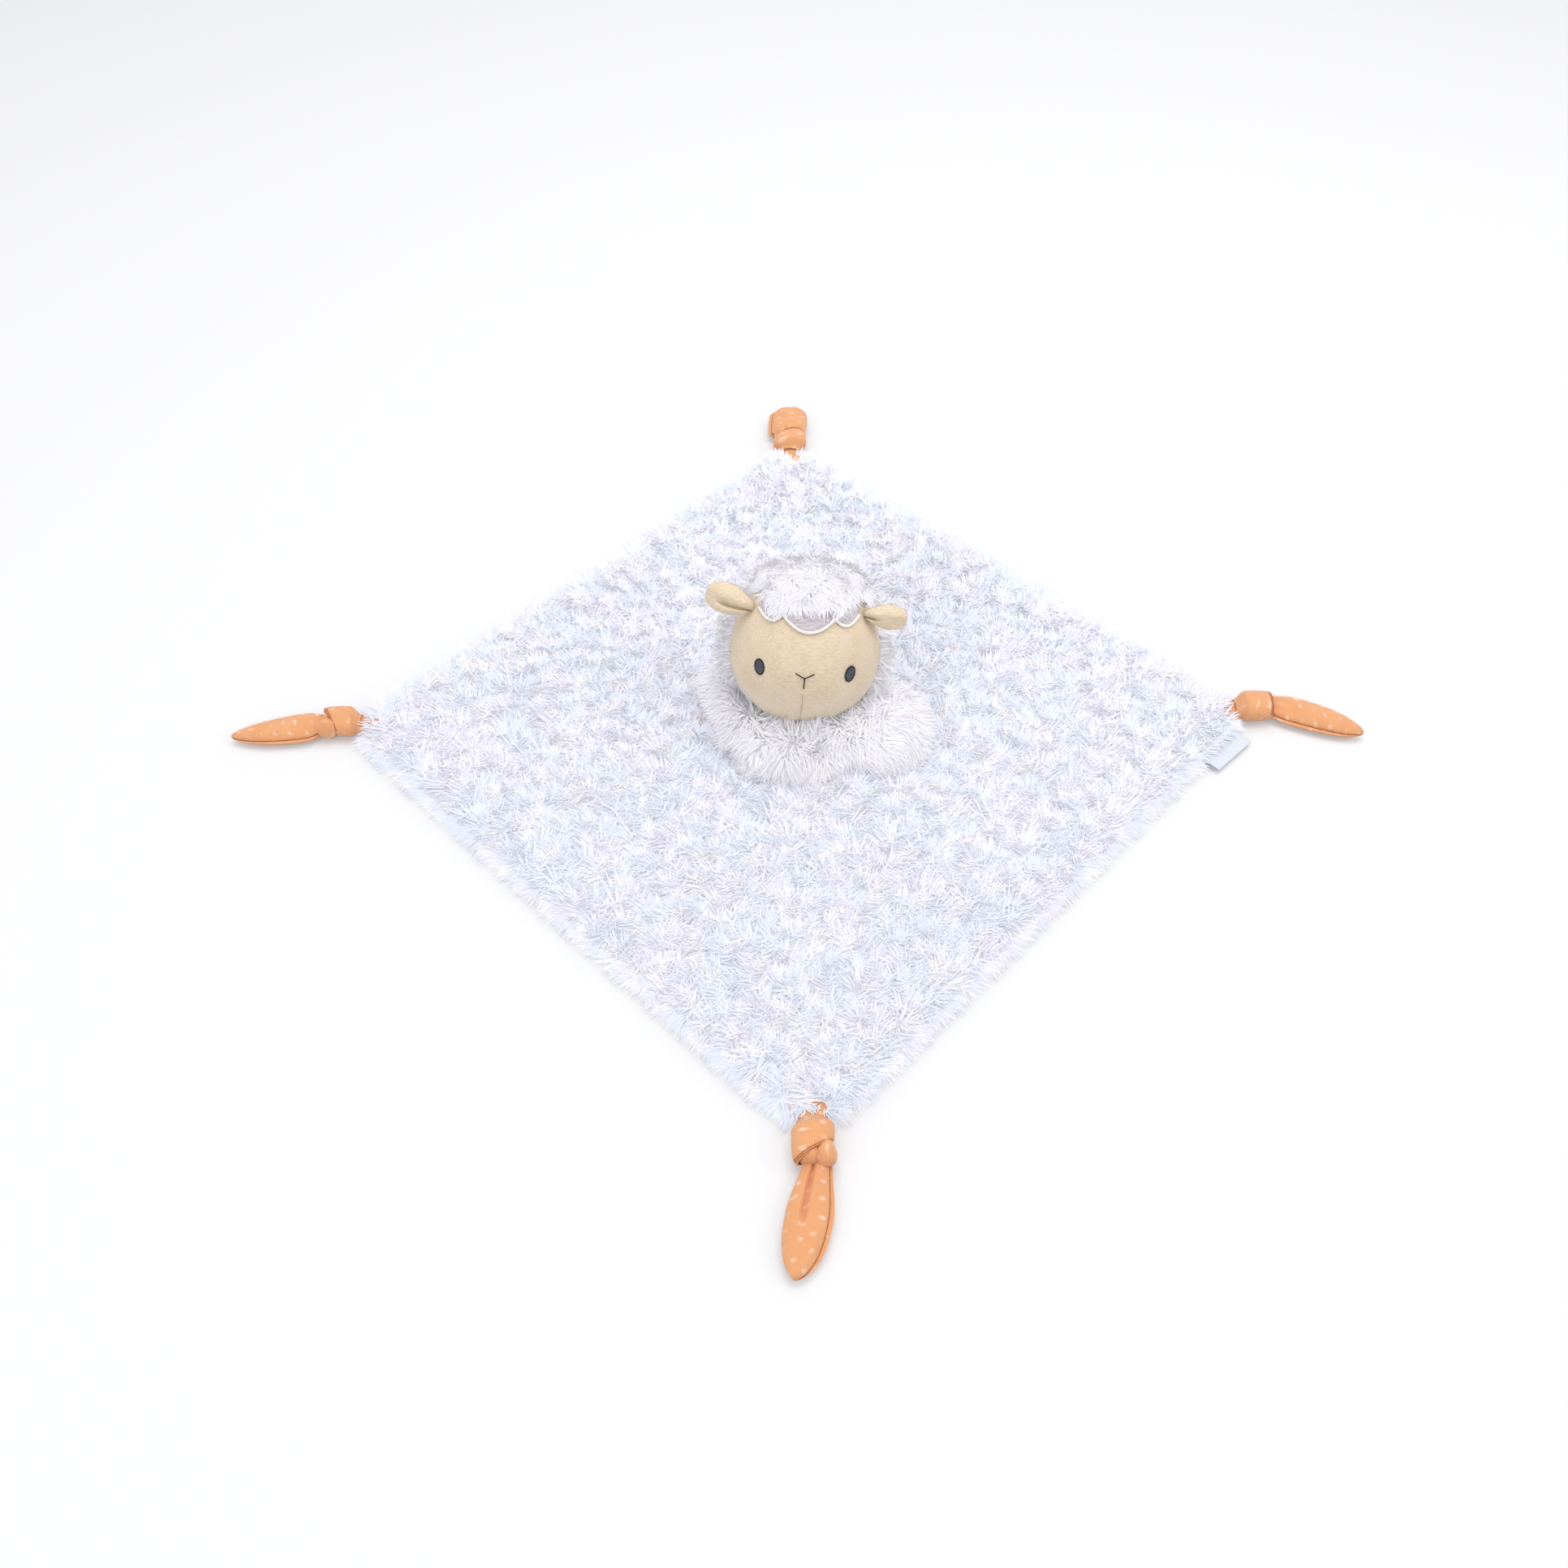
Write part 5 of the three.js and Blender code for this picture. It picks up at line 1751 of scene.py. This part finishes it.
@dataclass
class Tie:
    """A knotted jersey tie: a sewn stub, a knot and a tail of two panels.

    Attributes:
        name: Corner that it is at.
        heading: Direction of the corner in degrees.
        yaw: Turn of the tail in degrees.
        style: How the tail lies.
        side: Side of the knot on which its fold bulges out.
        seam_side: Side of the tail on which its lower panel shows.
        lip: Slant of the knot's lip, and where it crosses the middle line.
        shoulder: Share of the full width that the tail has at the knot.
        fullest: Where along the tail it is widest.
        taper: How long the tail keeps its width before its tip.
        bow: How far the tail's middle bows to the side.
        rim: Where the knot's cloth starts, from the pivot.
        half_width: Half the width of the knot.
        tuck: How far the tail's root reaches into the knot.
        pivot: From the blanket's centre to the knot's pivot.
        tail_pivot: From the knot's pivot to the tail's.
        float_z: Height of the tie's underside.
        section: Half height of the knot's section, and height of its middle over the underside.
    """

    name: str
    heading: float
    yaw: float
    style: TailStyle
    side: int = 1
    seam_side: int = 1
    lip: tuple[float, float] = (0.5, 12.6)
    shoulder: float = 0.6
    fullest: float = 0.5
    taper: float = 2.6
    bow: float = 0.0
    rim: float = -2.5
    half_width: float = 8.5
    tuck: float = 5.0
    pivot: float = CORNER - 5
    tail_pivot: float = 18.0
    float_z: float = 0.3
    section: tuple[float, float] = (6.2, 6.4)

    def build(self, shop: Workshop) -> None:
        """Make the stub, the knot and the tail.

        Args:
            shop: Finishes and trees.
        """
        self.build_stub(shop)
        self.build_knot(shop)
        self.build_tail(shop)

    def place(self, points: Array, beyond: float = 0.0, turn: float = 0.0) -> Array:
        """Carry points of the tie, whose X is outward, to the frame; beyond is past the pivot."""
        return (points @ spin(turn) + [self.pivot + beyond, 0, 0]) @ spin(self.heading)

    def build_stub(self, shop: Workshop) -> None:
        """Make the sewn end, thin between the layers of the blanket and full outside it.

        Args:
            shop: Finishes and trees.
        """
        ball, faces = full_ball(48, 40)
        radius, length = 6.5, 11
        x = ball[:, 0] * radius + np.where(ball[:, 0] < 0, -length, 0)
        along = np.linspace(0, 1, len(x))
        points = at(x, ball[:, 1] * radius, ball[:, 2])
        outside = smoothstep(x, -9, 0)
        low, high = mix(1.5, 0.3, outside), mix(3.9, 8.0, outside)
        points[:, 2] = mix(low, high, (ball[:, 2] + 1) / 2)
        points += 0.1 * ripple(points, 9, 41)[:, None] * ball * smoothstep(along, 0, 0.2)[:, None]
        stub = piece(f"stub_{self.name}", self.place(points), faces, shop.wear.jersey)
        lay_uv(stub, at(x, np.arctan2(ball[:, 2], ball[:, 1]) * radius))
        finish_piece(stub, "blanket", "jersey", f"tie_stub_{self.name}")

    def sleeve(
        self, start: float, middle: float, slope: float, grow: float
    ) -> tuple[Array, Faces, Array]:
        """One layer of the knot: a cupped sleeve that ends in a rolled, slanted lip.

        Args:
            start: Where the sleeve starts, from the pivot.
            middle: Where its lip crosses the middle line.
            slope: How much further out the lip lies for each millimetre away from the knot's side.
            grow: Scale of its section.

        Returns:
            Points, faces and UV places.
        """
        rows, columns = 30, 64
        around = np.linspace(0, 2 * math.pi, columns, endpoint=False)[None, :]
        along = np.linspace(0, 1, rows)[:, None]
        y = np.cos(around) * self.half_width
        end = middle - slope * y * self.side
        x = start + (end - start) * along
        swell = 1 + 0.05 * np.sin(along * math.pi) - 0.1 * np.clip(along - 0.93, 0, 1) / 0.07
        swell = swell - 0.38 * (1 - smoothstep(along, 0, 0.35))
        scale = grow * swell
        y = y * scale
        half_height, centre = self.section
        middle_z = self.float_z + mix(4.3, centre, smoothstep(along, 0, 0.35))
        z = middle_z + np.sin(around) * half_height * scale
        outer = at(x, y, np.maximum(z, self.float_z))
        inner = outer[::-1].copy()
        inner[..., 1] *= 0.9
        inner[..., 2] = middle_z[::-1] + (inner[..., 2] - middle_z[::-1]) * 0.9
        shell = np.concatenate([outer, inner])
        faces = grid_faces(2 * rows, columns, wrap=True)
        last = (2 * rows - 1) * columns
        after = [(i + 1) % columns for i in range(columns)]
        faces += [(last + i, last + after[i], after[i], i) for i in range(columns)]
        places = at(shell[..., 0], around * 6.8)
        return shell.reshape(-1, 3), [face[::-1] for face in faces], places.reshape(-1, 2)

    def lobe(
        self, centre: Sequence[float], size: Sequence[float], lean: float
    ) -> tuple[Array, Faces, Array]:
        """A full round fold of the knot.

        Args:
            centre: Its middle, X outward from the pivot.
            size: Its half sizes.
            lean: Its turn in degrees.

        Returns:
            Points, faces and UV places.
        """
        ball, faces = full_ball(32, 40)
        points = ball * np.array(size)
        points += 0.35 * ripple(points, 9, 51)[:, None] * ball
        points = points @ spin(lean * self.side) + np.array(centre) * [1, self.side, 1]
        places = at(points[:, 0] * 0.3 + points[:, 1], np.arctan2(ball[:, 2], ball[:, 1]) * size[1])
        return points, faces, places

    def build_knot(self, shop: Workshop) -> None:
        """Make the knot: two slanted layers, the fold beside them and the tucked core.

        Args:
            shop: Finishes and trees.
        """
        slope, middle = self.lip
        layers = [
            self.sleeve(self.rim, middle, slope, 1.0),
            self.sleeve(self.rim + 2, middle + 1.0, slope, 0.93),
            self.lobe((13.4, 4.9, 6.6), (5.6, 4.6, 5.9), 24),
            self.lobe((13.2, -1.2, 6.0), (4.4, 5.6, 5.4), 0),
        ]
        if slope < 0.2:
            layers[2] = self.lobe((12.6, 1.5, 6.2), (4.6, 6.2, 5.4), 0)
        points, faces, places, start = [], [], [], 0
        for some, quads, uv in layers:
            points.append(some)
            places.append(uv)
            faces += [tuple(i + start for i in face) for face in quads]
            start += len(some)
        knot = piece(f"knot_cloth_{self.name}", self.place(np.vstack(points)), faces, shop.wear.jersey)
        lay_uv(knot, np.vstack(places))
        finish_piece(knot, f"knot_{self.name}", "jersey", f"knot_{self.name}")
        around = np.linspace(math.radians(8), math.radians(172), 40)
        half_height, centre = self.section
        y, z = np.cos(around) * self.half_width, np.sin(around) * half_height
        x = middle - slope * y * self.side
        lips = [
            self.place(at(x + beyond, y * size, self.float_z + centre + z * size))
            for beyond, size in ((0.0, 0.94), (0.9, 0.9))
        ]
        fold = shop.thread(f"knot_fold_{self.name}", lips, 0.2, 6, shop.wear.seam)
        finish_piece(fold, f"knot_{self.name}", "sewing_thread")

    def tail_size(self) -> tuple[float, float, float, float]:
        """Length, width and thickness of the tail, and depth of the notch in its tip."""
        return (25, 23, 11, 3.2) if self.style is TailStyle.CURLED else (46, 17.5, 8, 0)

    def leaf(self, along: Array) -> Array:
        """Draw the tail's outline: wide at the knot, tapered to a rounded point.

        Args:
            along: How far along the tail, from 0 to 1.

        Returns:
            Shares of the full width.
        """
        rise = mix(self.shoulder, 1, smoothstep(along, 0, self.fullest))
        fall = 1 - np.clip((along - self.fullest) / (1 - self.fullest), 0, 1) ** self.taper
        start = np.sqrt(np.clip(1 - np.square(1 - np.clip(along / 0.1, 0, 1)), 0, 1))
        return rise * np.power(np.clip(fall, 0, 1), 0.65) * start

    def tail_form(self, upper: bool) -> tuple[Array, Faces, Array]:
        """Shape one panel of the tail.

        Args:
            upper: Whether it is the upper one.

        Returns:
            Points, faces and UV places.
        """
        length, width, thick, notch = self.tail_size()
        ball, faces = full_ball(88, 96)
        along = (ball[:, 0] + 1) / 2
        around = np.hypot(ball[:, 1], ball[:, 2])
        across, up = ball[:, 1] / np.maximum(around, 1e-6), ball[:, 2] / np.maximum(around, 1e-6)
        leaf = self.leaf(along)
        half = thick / 2
        groove = np.zeros_like(along)
        if upper and self.style is TailStyle.GROOVED:
            line = (across + 0.22 * self.side - 0.15 * self.side * along) / 0.14
            open_part = (1 - smoothstep(along, 0.42, 0.72)) * smoothstep(along, 0.02, 0.12)
            groove = 3.4 * bell(line) * open_part
        if upper:
            groove = groove + 0.35 * np.sin(across * 9 + 1) * bell((along - 0.08) / 0.12)
        heart = notch * bell(across / 0.4) * around * smoothstep(along, 0.6, 1)
        dome = half * np.sqrt(around) * np.abs(up) * mix(0.75, 1, np.clip(leaf, 0, 1))
        bulge = np.maximum(dome - groove - 0.15, 0)
        sign = 1 if upper else -1
        beside = 0 if upper else 1.9 * leaf * self.seam_side
        inset = 0.97 if upper else 1.0
        x = along * (length + self.tuck) - self.tuck - half - heart
        y = (width / 2) * inset * leaf * across + beside + self.bow * 4 * along * (1 - along)
        z = self.float_z + half + sign * (0.15 + np.where(sign * up > 0, bulge, 0))
        points = at(x, y, z)
        crumple = 0.18 * ripple(points, 13, 21 + len(self.name))
        points[:, 2] += crumple * np.where(sign * up > 0.2, 1, 0)
        points[:, 2] = np.maximum(points[:, 2], self.float_z)
        places = at(x + 40 * upper, across * width * 0.55 * np.where(up > 0, 1, -1))
        return points, faces, places

    def build_tail(self, shop: Workshop) -> None:
        """Make the two panels of the tail and the seam thread between them.

        Args:
            shop: Finishes and trees.
        """
        length, width, thick, _ = self.tail_size()
        half, body = thick / 2, f"tail_{self.name}"
        for upper, part in ((True, "upper"), (False, "lower")):
            points, faces, places = self.tail_form(upper)
            placed = self.place(points, self.tail_pivot + half, self.yaw)
            panel = piece(f"tail_{part}_cloth_{self.name}", placed, faces, shop.wear.jersey)
            lay_uv(panel, places)
            finish_piece(panel, body, "jersey", f"tail_{part}_{self.name}")
        share = np.linspace(0.06, 0.985, 60)
        side = self.seam_side * (width / 2 * 0.97 * self.leaf(share) + 0.1)
        side = side + self.bow * 4 * share * (1 - share)
        edge = at(share * (length + self.tuck) - self.tuck - half, side, half + 0.3)
        line = self.place(edge, self.tail_pivot + half, self.yaw)
        seam = shop.thread(f"tail_seam_{self.name}", [line], 0.28, 6, shop.wear.seam)
        finish_piece(seam, body, "sewing_thread")


# Label


@dataclass
class Label:
    """A bare satin ribbon, folded over and sewn into the edge.

    Attributes:
        pivot: Its sewn end in the frame.
        out: Direction away from the blanket.
        width: Width of the ribbon.
        reach: How far it stands out of the seam.
        half: Half the distance between its two layers.
        sewn: How much of it lies in the seam.
    """

    pivot: tuple[float, float, float] = (212.685, -23.181, 2.4)
    out: tuple[float, float, float] = (0.66913, -0.74314, 0.0)
    width: float = 28
    reach: float = 11.5
    half: float = 0.42
    sewn: float = 0.65

    def build(self, shop: Workshop) -> None:
        """Make the folded ribbon.

        Args:
            shop: Finishes and trees.
        """
        half, end = self.half, self.reach - self.sewn - self.half
        turn = np.linspace(-math.pi / 2, math.pi / 2, 9)
        straight = np.linspace(0, end, 16)
        profile = [(x, -half) for x in straight[:-1]]
        profile += [(end + half * math.cos(t), half * math.sin(t)) for t in turn]
        profile += [(x, half) for x in straight[::-1][1:]]
        line = np.array(profile)
        across = np.linspace(-self.width / 2, self.width / 2, 40)[:, None]
        bow = 0.12 * np.sin(across * 0.35) * smoothstep(line[:, 0], 0, end)
        x, z = line[:, 0] - self.sewn, line[:, 1] + bow
        side = np.cross((0, 0, 1), self.out)
        points = x[..., None] * np.array(self.out) + across[..., None] * side
        points = points + at(0, 0, z) + np.array(self.pivot)
        ribbon = piece("label_ribbon", points, grid_faces(40, len(line)), shop.wear.ribbon)
        thicken(ribbon, 0.3)
        finish_piece(ribbon, "label", "satin_ribbon", "label")


# Studio


@dataclass
class Studio:
    """Floor, lights and camera.

    Attributes:
        target: Point that the camera looks at, in millimetres.
        distance: From the camera to the target.
        azimuth: Degrees round the object from the front.
        elevation: Degrees above the horizon.
        roll: Degrees of roll.
        view: Angle of view in degrees, across the square picture.
    """

    target: tuple[float, float, float] = (-8.44, -42.0, 0.0)
    distance: float = 671.8
    azimuth: float = -0.543
    elevation: float = 49.776
    roll: float = -0.59
    view: float = 60.588

    def build(self) -> None:
        """Make the floor, the lights and the camera."""
        self.build_camera()
        self.build_floor()
        self.build_lights()

    def build_camera(self) -> None:
        """Set the camera at the photograph's angle."""
        data = bpy.data.cameras.new("camera")
        data.sensor_fit, data.sensor_width = "HORIZONTAL", 36
        data.lens = 18 / math.tan(math.radians(self.view) / 2)
        data.clip_start, data.clip_end = 0.01, 50
        camera = add_object("camera", data)
        turn, rise = math.radians(self.azimuth), math.radians(self.elevation)
        level = math.cos(rise)
        back = Vector((math.sin(turn) * level, -math.cos(turn) * level, math.sin(rise)))
        aim = (-back).to_track_quat("-Z", "Y").to_matrix().to_4x4()
        place = Matrix.Translation((Vector(self.target) + back * self.distance) * MM)
        camera.matrix_world = place @ aim @ Matrix.Rotation(math.radians(self.roll), 4, "Z")
        bpy.context.scene.camera = camera
        bpy.context.scene.view_settings.view_transform = "Standard"

    def build_floor(self) -> None:
        """Make a floor that is white to the camera and keeps the soft shadow."""
        reach = 4000
        corners = [(-reach, -reach, 0), (reach, -reach, 0), (reach, reach, 0), (-reach, reach, 0)]
        material = bpy.data.materials.new("floor_white")
        bench = blank(material)
        matt = bench.first("ShaderNodeBsdfDiffuse", {"Color": (0.62, 0.62, 0.63, 1)})
        ray = bench.node("ShaderNodeLightPath").outputs
        seen = bench.calc("MAXIMUM", ray["Is Camera Ray"], ray["Is Glossy Ray"])
        inputs = {"Color": (1, 1, 1, 1), "Strength": bench.times(seen, 0.21)}
        glow = bench.first("ShaderNodeEmission", inputs)
        both = bench.first("ShaderNodeAddShader", {0: matt, 1: glow})
        bench.node("ShaderNodeOutputMaterial", {0: both})
        piece("floor", corners, [(0, 1, 2, 3)], material)

    def build_lights(self) -> None:
        """Make a white room and large soft lamps."""
        world = bpy.data.worlds.new("room")
        bpy.context.scene.world = world
        bench = blank(world)
        ray = bench.node("ShaderNodeLightPath").outputs
        seen = bench.calc("MAXIMUM", ray["Is Camera Ray"], ray["Is Glossy Ray"])
        seen = bench.calc("MAXIMUM", seen, ray["Is Transmission Ray"])
        light = bench.first("ShaderNodeBackground", {"Color": (0.97, 0.98, 1, 1), "Strength": 0.8})
        shown = bench.first("ShaderNodeBackground", {"Color": (1, 1, 1, 1), "Strength": 1.0})
        both = bench.first("ShaderNodeMixShader", {0: seen, 1: light, 2: shown})
        bench.node("ShaderNodeOutputWorld", {0: both})
        lamps = [
            ("softbox_top", (150, 350, 1500), 1400, 11.5, (1, 0.99, 0.975)),
            ("softbox_right", (1300, -300, 1000), 900, 3.5, (1, 0.99, 0.98)),
            ("softbox_left", (-900, -1100, 800), 1300, 4.6, (0.99, 0.99, 1)),
        ]
        for name, place, size, power, colour in lamps:
            data = bpy.data.lights.new(name, "AREA")
            data.shape, data.size, data.energy, data.color = "DISK", size * MM, power, colour
            lamp = add_object(name, data)
            lamp.location = Vector(place) * MM
            lamp.rotation_euler = (-Vector(place)).to_track_quat("-Z", "Y").to_euler()


def dress_inside(wear: Wardrobe) -> None:
    """Give the hidden solids that stay as they are their finishes.

    Args:
        wear: The finishes.
    """
    finishes = {
        "head_stuffing": wear.fibre,
        "neck_patch": wear.felt,
        "neck_stem": wear.fleece_cloth,
        "neck_thread": wear.satin,
        "head_base_disc": wear.fleece_cloth,
    }
    for name, material in finishes.items():
        mesh = bpy.data.objects[name].data
        mesh.materials.clear()
        mesh.materials.append(material)


def main() -> None:
    logging.basicConfig(level=logging.INFO, format="%(message)s")
    Studio().build()
    shop = Workshop()
    blanket = Blanket()
    blanket.build(shop)
    head = Head()
    Collar(head.shape, blanket).build(shop)
    head.build(shop)
    Ear("ear_left", (-25.849, 5.988, 76.973), (-0.93969, 0.21057, 0.26952), mirror=-1).build(shop)
    pivot, along = (35.759, 2.336, 72.298), (0.98902, -0.09100, -0.11648)
    Ear("ear_right", pivot, along, crease_end=0.45, slim=0.8, reach=0.88).build(shop)
    right = {"side": -1, "seam_side": -1, "lip": (0.06, 14.8), "shoulder": 0.75}
    Tie("right", 0, -26, TailStyle.LEAF, fullest=0.3, bow=1.6, **right).build(shop)
    rear = {"lip": (0.3, 12.0), "shoulder": 0.95, "taper": 4.0, "half_width": 9.8}
    Tie("rear", 90, -4, TailStyle.CURLED, **rear).build(shop)
    Tie("left", 180, 10, TailStyle.LEAF, fullest=0.27, taper=1.9).build(shop)
    Tie("front", 270, -12, TailStyle.GROOVED).build(shop)
    Label().build(shop)
    dress_inside(shop.wear)


if __name__ == "__main__":
    main()
